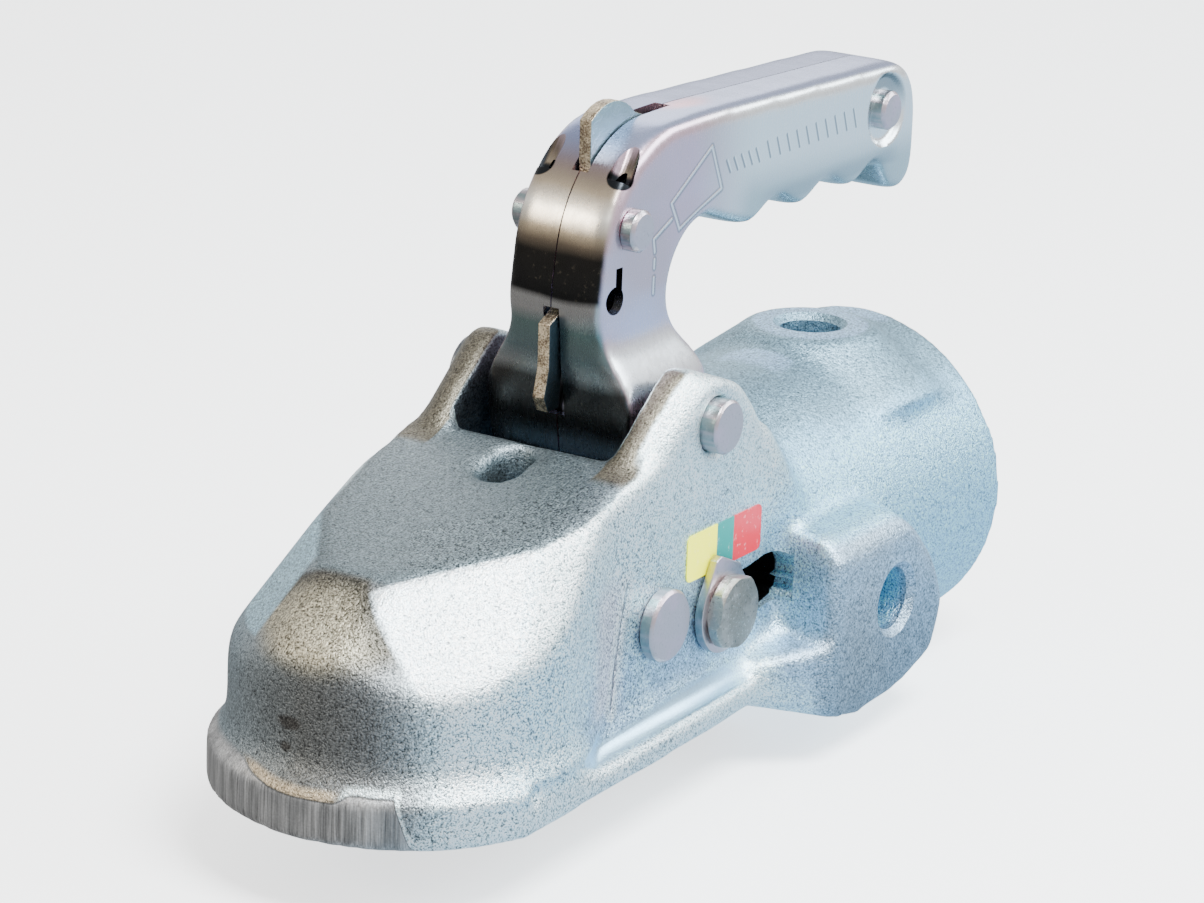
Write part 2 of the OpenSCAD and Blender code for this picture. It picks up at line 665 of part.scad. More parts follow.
// Plate that rocks on the neck spacer: trigger above the shoulder, nose in the front slot.
module safety_catch() {
    color("DarkGray") difference() {
        side_plate(-catch_t / 2, catch_t / 2)
            polygon(concat(
                [for (p = [[-21.3, 21.3], [-21.1, 11.5], [-22.7, 5.3], [-20.9, 1.9], [-16.8, 1.9],
                           [-15.3, 17.5], [-10.7, 22.5], [-10.7, 31.5]]) [pivot_x + p[0], pivot_z + p[1]]],
                [for (p = [[5.8, -6], [8.3, -1], [7.8, 7], [23.8, 16.6], [23.8, 18.6]])
                    [neck_x + p[0], neck_z + p[1]]],
                arc(neck_x + 8, neck_z + 12, 12.8, 44, 130, 8),
                [for (p = [[0, 12.8], [0.2, 10], [-2.4, 5], [-4.6, -3]]) [neck_x + p[0], neck_z + p[1]]],
                [for (p = [[-13.7, 30.5], [-14.3, 25], [-17.7, 23.1]]) [pivot_x + p[0], pivot_z + p[1]]]));
        bar_y(neck_x, neck_z, rivet_d / 2 + 2.06, -5, 5);
    }
}

// Small coil that presses the catch towards the front of the neck.
module catch_spring() {
    r = 0.5;
    x0 = pivot_x - 10.7 + seat + r;
    x1 = pivot_x + 10.3 - sheet_t - seat - r;
    n = 72;
    color("SlateGray") wire([for (i = [0 : n])
        [x0 + (x1 - x0) * i / n, 2.6 * cos(30 * i), pivot_z + 27 + 2.6 * sin(30 * i)]], r, 6);
}

// Pin with a flat round head on the near wall.
module front_pin() {
    color("Gainsboro") difference() {
        union() {
            pin_y(guide_x, guide_z, head_d / 2, -ear_y - head_t, -ear_y, 0.7);
            bar_y(guide_x, guide_z, guide_d / 2, -ear_y - 1, ear_y + 3.4);
        }
        ring_groove(guide_x, guide_z, guide_d / 2);
    }
}

module front_pin_ring() {
    color("DimGray") retaining_ring(guide_x, guide_z, guide_d / 2);
}

// Bolt that the cam pulls back; its slightly square head lies on the pointer.
module indicator_bolt() {
    y = -pointer_y - pointer_t;
    color("Gainsboro") difference() {
        union() {
            intersection() {
                pin_y(bolt_x, bolt_z, head_d / 2 + 0.6, y - head_t, y, 0.8);
                translate([bolt_x, 0, bolt_z]) rotate([0, 12, 0])
                    cube([head_d - 0.6, 200, head_d - 0.6], center = true);
            }
            bar_y(bolt_x, bolt_z, bolt_d / 2, y - 1, ear_y + 3.4);
        }
        ring_groove(bolt_x, bolt_z, bolt_d / 2);
    }
}

module bolt_ring() {
    color("DimGray") retaining_ring(bolt_x, bolt_z, bolt_d / 2);
}

// Sleeve on the bolt between a cam plate and the side wall.
module bolt_sleeve(y0, y1) {
    difference() {
        bar_y(bolt_x, bolt_z, sleeve_r, y0, y1);
        bar_y(bolt_x, bolt_z, bolt_d / 2, -40, 40);
    }
}

module bolt_sleeve_left() {
    color("DarkGray") bolt_sleeve(sleeve_y0, sleeve_y1);
}

module bolt_sleeve_right() {
    color("DarkGray") bolt_sleeve(-sleeve_y1, -sleeve_y0);
}

// Drop-shaped washer whose tip shows the position on the label.
module indicator_pointer() {
    r = pointer_r;
    color("Silver") side_plate(-pointer_y - pointer_t, -pointer_y) difference() {
        translate([bolt_x, bolt_z])
            polygon(concat(arc(0, 0, r, 148, 392, 24),
                arc(r + 1.5, r + 0.6, 5.6, 222, 192, 4),
                [[-2.6, pointer_tip + 0.4], [-4.4, pointer_tip - 0.4]]));
        translate([bolt_x, bolt_z]) circle(d = bolt_d, $fn = smooth);
    }
}

// Cheek that holds the ball from behind, with a tail that carries the bolt.
module ball_jaw() {
    top = guide_z - guide_d / 2 - 0.6;
    color("SlateGray") difference() {
        union() {
            side_plate(-jaw_w / 2, jaw_w / 2)
                polygon([[8, -19.5], [8, top], [guide_x - 6, top], [guide_x - 6, -15], [34, -19.5]]);
            side_plate(0.4 - cam_y0, cam_y0 - 0.4)
                polygon(concat([[30, -17], [30, top], [bolt_x - 16, top]],
                    arc(bolt_x, bolt_z, eye_r, 135, -90, 14), [[guide_x, -14]]));
        }
        translate([-jaw_reach, 0, 0]) sphere(r = ball_d / 2, $fn = smooth);
        bar_y(bolt_x, bolt_z, bolt_d / 2, -40, 40);
    }
}

// Label with three colour fields on the near wall.
module indicator_label() {
    r = 1.6;
    color("Gold") side_plate(-ear_y - label_t, -ear_y) difference() {
        translate([label_x0, label_z0]) square([label_w, label_h]);
        for (cx = [0, 1], cz = [0, 1])
            translate([label_x0 + cx * label_w, label_z0 + cz * label_h]) difference() {
                square(2 * r, center = true);
                translate([(1 - 2 * cx) * r, (1 - 2 * cz) * r]) circle(r = r, $fn = 32);
            }
    }
}

housing();
handle_left_shell();
handle_right_shell();
handle_pivot_pin();
pivot_pin_ring();
operating_cam();
cam_bush();
handle_spring();
neck_rivet();
neck_spacer();
end_rivet();
end_spacer();
safety_catch();
catch_spring();
front_pin();
front_pin_ring();
indicator_bolt();
bolt_ring();
bolt_sleeve_left();
bolt_sleeve_right();
indicator_pointer();
ball_jaw();
indicator_label();
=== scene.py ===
import json
import math
import bpy
import bmesh
import numpy as np
from mathutils import Matrix, Vector


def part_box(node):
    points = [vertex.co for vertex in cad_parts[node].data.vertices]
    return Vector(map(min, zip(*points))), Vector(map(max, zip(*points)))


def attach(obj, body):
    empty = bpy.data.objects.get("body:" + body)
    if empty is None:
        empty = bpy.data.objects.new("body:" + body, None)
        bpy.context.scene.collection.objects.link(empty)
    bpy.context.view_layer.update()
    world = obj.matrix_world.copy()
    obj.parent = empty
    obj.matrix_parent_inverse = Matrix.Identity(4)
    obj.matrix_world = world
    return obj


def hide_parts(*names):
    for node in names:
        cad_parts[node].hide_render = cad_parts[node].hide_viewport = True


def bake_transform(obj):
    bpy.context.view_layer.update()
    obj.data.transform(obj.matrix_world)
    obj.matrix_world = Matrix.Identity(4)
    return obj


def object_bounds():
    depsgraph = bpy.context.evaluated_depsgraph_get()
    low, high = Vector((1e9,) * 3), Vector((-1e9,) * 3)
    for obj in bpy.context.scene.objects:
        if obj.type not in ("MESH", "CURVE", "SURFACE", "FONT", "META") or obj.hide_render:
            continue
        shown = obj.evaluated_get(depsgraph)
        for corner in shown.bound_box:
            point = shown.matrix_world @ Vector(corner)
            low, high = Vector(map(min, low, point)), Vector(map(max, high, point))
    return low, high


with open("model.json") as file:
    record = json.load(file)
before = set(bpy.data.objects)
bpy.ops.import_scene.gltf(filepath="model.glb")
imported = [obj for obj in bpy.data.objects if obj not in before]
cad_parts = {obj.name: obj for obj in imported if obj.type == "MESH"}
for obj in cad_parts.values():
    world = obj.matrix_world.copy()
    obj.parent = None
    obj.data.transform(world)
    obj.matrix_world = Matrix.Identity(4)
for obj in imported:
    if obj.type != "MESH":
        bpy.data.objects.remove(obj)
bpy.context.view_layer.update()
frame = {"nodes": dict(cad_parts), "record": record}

mm = 0.001
scene = bpy.context.scene
bodyOf = {n: b for b, ns in frame["record"]["behaviour"]["bodies"].items() for n in ns}
slotOf = {s["node"]: s["material_slot"] for s in frame["record"]["subparts"]}


class Link:
    # one socket of a node tree, so that masks and mixes read as plain sums
    def __init__(self, tree, socket=None):
        self.tree, self.socket = tree, socket

    def node(self, kind, settings=None, sockets=None, out=0):
        n = self.tree.nodes.new(kind)
        for key, value in (settings or {}).items():
            if key == "stops":
                ramp = n.color_ramp
                while len(ramp.elements) < len(value):
                    ramp.elements.new(0.5)
                for element, (place, colour) in zip(ramp.elements, value):
                    element.position = place
                    element.color = (*colour, 1) if len(colour) == 3 else colour
            else:
                setattr(n, key, value)
        for key, value in (sockets or {}).items():
            target = n.inputs[key]
            if isinstance(value, Link):
                self.tree.links.new(value.socket, target)
            elif value is not None:
                target.default_value = value
        return Link(self.tree, n.outputs[out])

    def maths(self, operation, *values, clamp=False):
        return self.node("ShaderNodeMath", {"operation": operation, "use_clamp": clamp},
                         {i: v for i, v in enumerate(values)})

    def __add__(self, other): return self.maths("ADD", self, other)
    def __radd__(self, other): return self.maths("ADD", other, self)
    def __sub__(self, other): return self.maths("SUBTRACT", self, other)
    def __rsub__(self, other): return self.maths("SUBTRACT", other, self)
    def __mul__(self, other): return self.maths("MULTIPLY", self, other)
    def __rmul__(self, other): return self.maths("MULTIPLY", other, self)
    def __truediv__(self, other): return self.maths("DIVIDE", self, other)
    def __pow__(self, other): return self.maths("POWER", self, other)
    def __neg__(self): return self.maths("MULTIPLY", self, -1.0)

    def clamp(self): return self.maths("ADD", self, 0.0, clamp=True)
    def root(self): return self.maths("SQRT", self)
    def least(self, other): return self.maths("MINIMUM", self, other)
    def most(self, other): return self.maths("MAXIMUM", self, other)

    def ramp(self, low, high):  # 0 below low, 1 above high, soft between
        return self.node("ShaderNodeMapRange", {"interpolation_type": "SMOOTHSTEP", "clamp": True},
                         {"Value": self, "From Min": low, "From Max": high})

    def mix(self, a, b):  # colour a where self is 0, b where it is 1
        n = self.tree.nodes.new("ShaderNodeMix")
        n.data_type = "RGBA"
        self.tree.links.new(self.socket, n.inputs[0])
        for i, value in ((6, a), (7, b)):
            if isinstance(value, Link):
                self.tree.links.new(value.socket, n.inputs[i])
            else:
                n.inputs[i].default_value = (*value, 1) if len(value) == 3 else value
        return Link(self.tree, n.outputs[2])


def newMaterial(name):
    material = bpy.data.materials.new(name)
    material.use_nodes = True
    tree = material.node_tree
    tree.nodes.clear()
    output = tree.nodes.new("ShaderNodeOutputMaterial")
    return material, Link(tree), output


def finishMaterial(link, output, sockets):
    shader = link.node("ShaderNodeBsdfPrincipled", {}, sockets)
    link.tree.links.new(shader.socket, output.inputs["Surface"])


def place(link):  # position on the part in metres; every piece sits at the origin
    return link.node("ShaderNodeTexCoord", {}, {}, out=3)


def facing(link):  # the way the surface faces, in the part's own axes
    return link.node("ShaderNodeTexCoord", {}, {}, out=1)


def noise(link, where, scale, detail=2.0, rough=0.5, distortion=0.0):
    return link.node("ShaderNodeTexNoise", {}, {"Vector": where, "Scale": scale, "Detail": detail,
                                                "Roughness": rough, "Distortion": distortion})


def axes(link, where):
    n = link.tree.nodes.new("ShaderNodeSeparateXYZ")
    link.tree.links.new(where.socket, n.inputs[0])
    return [Link(link.tree, n.outputs[i]) for i in range(3)]


def stretched(link, where, scale, turn=(0, 0, 0)):
    return link.node("ShaderNodeMapping", {}, {"Vector": where, "Rotation": turn, "Scale": scale})


def towards(link, way, direction):  # 1 where the surface faces the direction
    n = link.tree.nodes.new("ShaderNodeVectorMath")
    n.operation = "DOT_PRODUCT"
    link.tree.links.new(way.socket, n.inputs[0])
    n.inputs[1].default_value = Vector(direction).normalized()
    return Link(link.tree, n.outputs["Value"])


def band(value, a, b, c, d):  # rises from a to b, falls from c to d
    return value.ramp(a, b) * (1.0 - value.ramp(c, d))


def stroke(link, u, v, a, b):  # distance in mm from the line a-b, all in one plane
    du, dv = b[0] - a[0], b[1] - a[1]
    across, up = u - a[0] * mm, v - a[1] * mm
    share = ((across * du + up * dv) * (1000.0 / (du * du + dv * dv))).clamp()
    restU, restV = across - share * (du * mm), up - share * (dv * mm)
    return (restU * restU + restV * restV).root() * 1000.0


def nearest(link, u, v, lines):  # distance in mm from the nearest of some lines
    found = None
    for a, b in lines:
        d = stroke(link, u, v, a, b)
        found = d if found is None else found.least(d)
    return found


def tones(link, value, stops):  # colours along a value from 0 to 1
    return link.node("ShaderNodeValToRGB", {"stops": stops}, {"Fac": value})


def plane(link, where, through, azimuth, slope):  # mm above the plane of a facet, set out as in the solids
    a, s = math.radians(azimuth), math.radians(slope)
    normal = Vector((math.cos(a) * math.sin(s), math.sin(a) * math.sin(s), math.cos(s)))
    return (towards(link, where, normal) - normal.dot(Vector(through)) * mm) * 1000.0


def zone(height, others, low, high):  # where one facet is the outermost
    rest = others[0]
    for other in others[1:]:
        rest = rest.most(other)
    return (height - rest).ramp(low, high)


def scaled(link, colour, gain):
    return link.node("ShaderNodeVectorMath", {"operation": "SCALE"}, {0: colour, "Scale": gain})


def bumped(link, height, strength, depth):
    return link.node("ShaderNodeBump", {}, {"Height": height, "Strength": strength, "Distance": depth})


def blastedZinc():  # the forging: grainy zinc, each part of the dome painted in the tone that it mirrors, a painted reflection with painted highlight and shade
    look = {"grain": 2300.0, "grainDepth": 0.00030, "contrast": 4.6, "roughness": 0.38,
            "side": (0.38, 0.53, 0.68), "sideLow": (0.60, 0.82, 0.95), "paintedHighlight": (0.84, 0.98, 1.0),
            "tube": (0.40, 0.72, 0.96), "tubeTop": (0.24, 0.38, 0.47), "pad": (0.36, 0.55, 0.76),
            "block": (0.37, 0.45, 0.53), "near": (0.84, 0.95, 1.0), "far": (0.42, 0.60, 0.70),
            "plateauFront": (0.17, 0.215, 0.235), "plateauRear": (0.22, 0.27, 0.295),
            "front": (0.47, 0.43, 0.32), "frontRimShade": (0.10, 0.095, 0.08), "earEdgeShade": (0.17, 0.155, 0.12),
            "insideShade": (0.080, 0.095, 0.110), "slotShade": (0.006, 0.007, 0.008), "bandLine": (0.62, 0.50, 0.34),
            "stain": (0.05, 0.04, 0.032), "groove": (0.50, 0.78, 1.0), "rose": (0.80, 0.70, 0.78),
            "creaseShade": (0.03, 0.035, 0.04)}
    # facets of the dome, as in the solids: a point on the plane in mm, the way it faces, its slope
    facets = {"top": ((-21, 0, 23), 180, 10.9), "front": ((-21, 0, 23), 180, 36.3),
              "near": ((-12.3, -14.9, 24.6), -134.6, 47.9), "far": ((-12.3, 14.9, 24.6), 134.6, 47.9),
              "nearEdge": ((0, -21.4, 34.5), -110.3, 56.5), "farEdge": ((0, 21.4, 30), 110.3, 56.5)}
    material, link, output = newMaterial("blastedZinc")
    where, way = place(link), facing(link)
    x, y, z = axes(link, where)
    nz = axes(link, way)[2]
    half = (y * y).root()
    grain = noise(link, where, look["grain"], 2.0, 0.6)
    coarse = noise(link, where, look["grain"] * 0.40, 2.0, 0.55)
    cloud = noise(link, where, 30.0, 3.0, 0.5)
    drift = noise(link, where, 75.0, 2.0, 0.5) - 0.5
    # heights above the planes of the dome pick the facet that a point belongs to
    top, front, near, far, nearEdge, farEdge = [plane(link, where, *facet) for facet in facets.values()]
    reach = ((x + 0.0015) ** 2.0 + y * y).root()
    taper = ((half + x * 0.2565) - 0.03795) * 969.0
    wall = ((reach - 0.0374) * 1000.0).least(
        taper.most((half - 0.0305) * 1000.0).most((x + 0.0015) * -1000.0))
    # painted reflection: the wall goes from light on the far side through dark in front to pale blue
    turn = (y / reach + drift * 0.22) * 0.5 + 0.5
    roundWall = tones(link, turn, [
        (0.0, look["sideLow"]), (0.10, (0.78, 0.92, 0.98)), (0.165, (0.52, 0.62, 0.66)),
        (0.225, (0.30, 0.33, 0.345)), (0.29, (0.20, 0.21, 0.215)), (0.50, (0.19, 0.195, 0.19)),
        (0.72, (0.27, 0.31, 0.33)), (0.95, (0.26, 0.34, 0.39))])
    body = (cloud + drift * 0.5).ramp(0.40, 0.64).mix(look["side"], look["sideLow"])
    flush = band(x, 0.014, 0.024, 0.028, 0.036) * band(z, -0.018, -0.010, 0.010, 0.020) * 0.7
    body = flush.mix(body, look["rose"])
    # painted light: the side wall lighter towards its top
    body = (z.ramp(0.006, 0.034) * (1.0 - x.ramp(0.094, 0.104)) * 0.85).mix(body, look["paintedHighlight"])
    colour = x.ramp(0.004, 0.016).mix(roundWall, body)
    # painted reflection: the tube pale blue low down and darker on top, the pad's top face in a tone of its
    # own
    tube = (z + half * -0.35 + drift * 0.02).ramp(0.004, 0.020).mix(look["tube"], look["tubeTop"])
    tube = (nz.ramp(0.965, 0.99) * x.ramp(0.130, 0.136)).mix(tube, look["pad"])
    colour = x.ramp(0.090, 0.104).mix(colour, tube)
    # painted shade: the block darker towards its bottom
    colour = (half.ramp(0.0440, 0.0466) * x.ramp(0.08, 0.10)).mix(
        colour, scaled(link, tones(link, cloud, [(0.3, look["block"]), (0.7, look["side"])]),
                       (z + drift * 0.02).ramp(-0.034, 0.006) * 0.45 + 0.62))
    before = 1.0 - x.ramp(0.0425, 0.0445)
    # painted reflection: the plateau darker towards the front
    deck = (x + drift * 0.012).ramp(-0.012, 0.044).mix(look["plateauFront"], look["plateauRear"])
    onTop = zone(top, [front, near, far - 1.0, nearEdge, farEdge, wall], -0.9, 0.5) * before
    colour = onTop.mix(colour, deck)
    # rounded by the forging: the front facet spreads to the far side and gives way low on the near side
    fall = (0.023 - z) * 1000.0
    nearShift, farShift = near + 2.6 - fall * 0.65, far - 3.0 - fall * 0.25
    inFront = zone(front, [top, nearShift, farShift], -0.6, 0.6) * (front - wall).ramp(-4.5, 2.5)
    inFront = inFront * (1.0 - x.ramp(-0.012, -0.006))
    # painted shade: the front facet dark at its rim and towards the near side
    rim = zone(front, [top, nearShift], 0.2, 4.0) * (0.95 + drift * 0.8)
    rim = rim.clamp() * (1.0 - (y * -1.0).ramp(0.002, 0.013) * 0.6)
    colour = inFront.mix(colour, rim.mix(look["frontRimShade"], look["front"]))
    # painted reflection: the far facet in the tone that it mirrors
    onFar = zone(farShift + 3.0, [top + 1.0, front + 3.0, wall], -0.6, 0.6) * (1.0 - x.ramp(0.02, 0.04))
    colour = onFar.mix(colour, look["far"])
    # painted highlight on the near facet
    lit = zone(near, [top], -0.35, 0.45) * (nearShift - front).ramp(-0.5, 0.6) * (near - wall).ramp(-0.4, 0.8)
    lit = lit * (near - nearEdge).ramp(-0.8, 1.2)
    lit = lit * (1.0 - x.ramp(0.022, 0.036))
    colour = lit.mix(colour, look["near"])
    # painted highlight along the near shoulder of the dome
    shoulder = zone(nearEdge, [top, near], -0.6, 0.8) * (nearEdge - wall).ramp(-1.6, 1.0) * before
    colour = (shoulder * 0.9).mix(colour, look["paintedHighlight"])
    # painted shade, dark brown, on the sheared front edges of the ears where they face front and up, browner
    # on the far one
    lean = towards(link, way, (-0.60, 0, 0.80))
    ears = x.ramp(0.032, 0.036) * (1.0 - x.ramp(0.062, 0.068)) * z.ramp(0.0300, 0.0325)
    ears = ears * half.ramp(0.0206, 0.0212)
    farEar = ears * y.ramp(0.0, 0.002)
    colour = (ears * lean.ramp(0.78, 0.92)).mix(colour, look["earEdgeShade"])
    colour = (farEar * lean.ramp(0.45, 0.70)).mix(colour, look["earEdgeShade"])
    # painted shade inside the housing's cavity
    inner = (1.0 - half.ramp(0.0214, 0.0220)) * x.ramp(0.0443, 0.0450) * (1.0 - x.ramp(0.1030, 0.1034))
    inner = inner * (1.0 - x.ramp(0.0876, 0.0882) * z.ramp(0.0300, 0.0320))
    colour = inner.mix(colour, look["insideShade"])
    # painted shade, near black, in the indicator slot between the side walls
    slotShade = (1.0 - half.ramp(0.0292, 0.0297)) * band(x, 0.060, 0.061, 0.1030, 0.1034)
    colour = (slotShade * band(z, -0.0105, -0.0100, 0.0045, 0.0050)).mix(colour, look["slotShade"])
    # ground band around the front of the lip, with its brown top line
    bandTop = y.ramp(0.002, 0.022) * 0.0040 + (1.0 - y.ramp(-0.0135, -0.0100)) * 0.0016 - 0.0179
    bandTop = bandTop - (1.0 - y.ramp(-0.0256, -0.0208)) * 0.0110 + drift * 0.0012
    below = (bandTop - z).ramp(-0.0002, 0.0003)
    outer = reach.ramp(0.0385, 0.0398)
    ground = below * outer * (1.0 - x.ramp(-0.010, -0.008))
    scratch = noise(link, stretched(link, where, (2600.0, 2600.0, 70.0)), 1.0, 3.0, 0.62)
    broad = noise(link, stretched(link, where, (260.0, 260.0, 40.0)), 1.0, 2.0, 0.5)
    steel = broad.ramp(0.38, 0.62).mix((0.36, 0.362, 0.365), (0.56, 0.56, 0.56))
    colour = ground.mix(colour, scaled(link, steel, scratch * 2.4 - 0.2))
    line = band(z - bandTop, -0.0002, 0.0004, 0.0012, 0.0026) * y.ramp(-0.012, -0.008)
    line = line * (1.0 - y.ramp(0.010, 0.019))
    colour = (line * outer * 0.75).mix(colour, look["bandLine"])
    # painted highlight: a pale strip just above the band's top line on the near side
    pale = band(z - bandTop, 0.0, 0.0006, 0.0016, 0.0034) * (1.0 - y.ramp(-0.0125, -0.0105))
    pale = pale * (1.0 - x.ramp(-0.006, 0.0))
    colour = (pale * outer * 0.8).mix(colour, look["paintedHighlight"])
    # painted highlight on the lower flange
    flange = (1.0 - z.ramp(-0.0215, -0.0195)) * x.ramp(-0.034, -0.026) * (1.0 - x.ramp(0.078, 0.088))
    flange = flange * (1.0 - ground)
    colour = (flange * 0.7).mix(colour, look["paintedHighlight"])
    # smooth groove on the flange, painted in the pale blue that it mirrors
    groove = band(half + x * 0.028, 0.0332, 0.0342, 0.0372, 0.0380)
    groove = groove * band(z, -0.0222, -0.0212, -0.0180, -0.0160) * band(x, 0.002, 0.012, 0.070, 0.086)
    colour = (groove * 0.8).mix(colour, look["groove"])
    # crease that the forging die left down the side, with painted shade in it and a painted highlight along
    # its lip
    seam = stroke(link, x + drift * 0.0022 + (grain - 0.5) * 0.0016, z, (34.3, 12.5), (28.6, -14.0))
    sides = half.ramp(0.0285, 0.0298)
    creaseCut = (1.0 - seam.ramp(0.15, 0.65)) * sides * (coarse + grain - 0.5).ramp(0.36, 0.56)
    creaseLip = band(seam, 0.3, 0.9, 1.3, 3.4) * sides
    colour = (creaseLip * 0.5).mix(colour, (0.92, 0.98, 1.0))
    colour = (creaseCut * 0.9).mix(colour, look["creaseShade"])
    # two brown spots on the front wall
    for across, up, wide, tall in ((0.0030, -0.0045, 0.0030, 0.0016), (0.0035, -0.0098, 0.0017, 0.0012)):
        away = ((y - across) * (1.0 / wide)) ** 2.0 + ((z - up) * (1.0 / tall)) ** 2.0
        away = away + drift * 2.4 + grain * 1.2 - 0.6
        spot = (1.0 - away.ramp(0.4, 1.6)) * (1.0 - x.ramp(-0.036, -0.034))
        colour = (spot * 0.7).mix(colour, look["stain"])
    # the grain itself scales the colour up and down
    plain = 1.0 - groove.most(ground) * 0.85
    dark = inFront.most(1.0 - turn.ramp(0.16, 0.26)) * 0.45
    speckle = (grain - 0.5) * look["contrast"] + (coarse - 0.5) * 1.5
    gain = speckle * plain * (1.0 - lit * 0.35) * (dark + 0.75) + 1.0
    colour = scaled(link, colour, gain.most(0.18))
    height = (grain * 0.8 + coarse * 0.7) * plain + scratch * ground * 0.3
    height = height + creaseLip * 0.35 - creaseCut * 0.9
    bump = bumped(link, height, 0.9, look["grainDepth"])
    rough = look["roughness"] + grain * 0.10 - lit * 0.04 - groove * 0.12
    finishMaterial(link, output, {"Base Color": colour, "Metallic": 1.0, "Roughness": rough,
                                  "Normal": bump})
    return material


def brightSheet():  # the handle's shells: smooth zinc with a faint rainbow, and painted reflection, highlight and shade by place and facing
    look = {"silver": (0.64, 0.48, 0.53), "lilac": (0.70, 0.50, 0.60), "rose": (0.90, 0.50, 0.60),
            "blue": (0.66, 0.70, 1.0), "grip": (0.96, 1.0, 1.0), "gripTop": (0.43, 0.49, 0.72),
            "farTopShade": (0.23, 0.27, 0.45), "insideShade": (0.02, 0.022, 0.025), "under": (0.26, 0.36, 0.40),
            "roughness": 0.20,
            "arrow": [((76.0, 83.6), (92.1, 93.3)), ((92.1, 93.3), (96.9, 83.0)),
                      ((96.9, 83.0), (79.8, 77.2)), ((79.8, 77.2), (76.0, 83.6)),
                      ((76.4, 80.1), (69.3, 77.0))],
            "dashes": [((69.3, 76.9), (69.9, 74.1)), ((69.9, 72.4), (69.9, 70.6)),
                       ((69.9, 68.4), (69.9, 65.0))]}
    material, link, output = newMaterial("brightSheet")
    where, way = place(link), facing(link)
    x, y, z = axes(link, where)
    nx, ny, nz = axes(link, way)
    film = noise(link, where, 24.0, 2.0, 0.5, 0.5)
    sweep = noise(link, stretched(link, where, (14.0, 30.0, 40.0)), 1.0, 2.0, 0.5)
    fine = noise(link, where, 700.0, 3.0, 0.6)
    drift = film - 0.5
    colour = film.ramp(0.40, 0.62).mix(look["silver"], look["lilac"])
    colour = (sweep.ramp(0.50, 0.68) * 0.7).mix(colour, look["blue"])
    # painted reflection: the grip near white
    colour = (x.ramp(0.082, 0.115) * 0.85).mix(colour, look["grip"])
    # painted shade towards the bottom of the grip
    lower = (1.0 - (z + x * 0.05).ramp(0.083, 0.0925)) * x.ramp(0.100, 0.112)
    colour = (lower * 0.75).mix(colour, (0.42, 0.50, 0.52))
    # painted reflection and shade by facing: tops in a darker blue, the far shell's top darker still,
    # undersides in darker teal
    top = nz.ramp(0.70, 0.93)
    colour = top.mix(colour, look["gripTop"])
    farTop = top * y.ramp(-0.0004, 0.0004)
    colour = (top * sweep.ramp(0.50, 0.60) * (1.0 - farTop) * band(x, 0.082, 0.090, 0.118, 0.128)).mix(
        colour, look["rose"])
    colour = (farTop * 0.9).mix(colour, look["farTopShade"])
    colour = (-nz).ramp(0.25, 0.85).mix(colour, look["under"])
    # painted reflection: the front of the neck and foot mirrors a dark room with one warm window
    front = (-nx).ramp(0.42, 0.80) * (1.0 - x.ramp(0.064, 0.072))
    room = tones(link, ((z + drift * 0.006) - 0.028) * (1.0 / 0.074), [
        (0.00, (0.12, 0.14, 0.15)), (0.08, (0.16, 0.18, 0.19)), (0.12, (0.060, 0.060, 0.060)),
        (0.245, (0.070, 0.068, 0.066)), (0.285, (0.30, 0.31, 0.31)), (0.34, (0.15, 0.20, 0.21)),
        (0.42, (0.17, 0.24, 0.23)), (0.465, (0.42, 0.41, 0.40)), (0.50, (0.40, 0.39, 0.38)),
        (0.52, (0.020, 0.020, 0.020)), (0.635, (0.022, 0.020, 0.018)), (0.665, (0.12, 0.095, 0.07)),
        (0.70, (0.34, 0.28, 0.20)), (0.765, (1.0, 0.95, 0.86)), (0.825, (0.50, 0.41, 0.30)),
        (0.89, (0.12, 0.095, 0.07)), (0.95, (0.06, 0.05, 0.045))])
    room = (fine.ramp(0.60, 0.75) * 0.10).mix(room, (0.5, 0.42, 0.3))
    colour = front.mix(colour, room)
    # painted shade on the inner faces of the shells and inside the shoulder hole
    insideShade = (-(y * ny)).ramp(0.002, 0.005).most((-nz).ramp(0.25, 0.6) * z.ramp(0.082, 0.086))
    well = ((x - 0.0590) ** 2.0 + ((y * y).root() - 0.0099) ** 2.0 + (z - 0.0923) ** 2.0).root() * 1000.0
    colour = insideShade.most(1.0 - well.ramp(2.9, 3.3)).mix(colour, look["insideShade"])
    # creased painted highlight on the flare above the foot
    flare = band(z, 0.044, 0.047, 0.054, 0.060) * (1.0 - front)
    flare = flare * towards(link, way, (-0.2, -0.75, 0.6)).ramp(0.80, 0.95)
    colour = (flare * 0.9).mix(colour, (0.95, 0.97, 1.0))
    # painted shade along the finger hollows and on the upper side of the dish, with a painted highlight on
    # its lower side
    hollow = band(z, 0.0735, 0.0750, 0.0768, 0.0800) * band(x, 0.112, 0.120, 0.172, 0.180)
    colour = (hollow * (-ny).ramp(0.3, 0.6) * 0.35).mix(colour, (0.20, 0.26, 0.30))
    ring = ((x - 0.171) ** 2.0 + (z - 0.0876) ** 2.0).root() * 1000.0
    dish = band(ring, 4.6, 5.4, 8.2, 9.4)
    colour = (dish * (z - 0.0876).ramp(-0.003, 0.006) * 0.75).mix(colour, (0.16, 0.20, 0.22))
    colour = (dish * (0.0876 - z).ramp(-0.002, 0.006) * 0.8).mix(colour, (0.92, 0.96, 1.0))
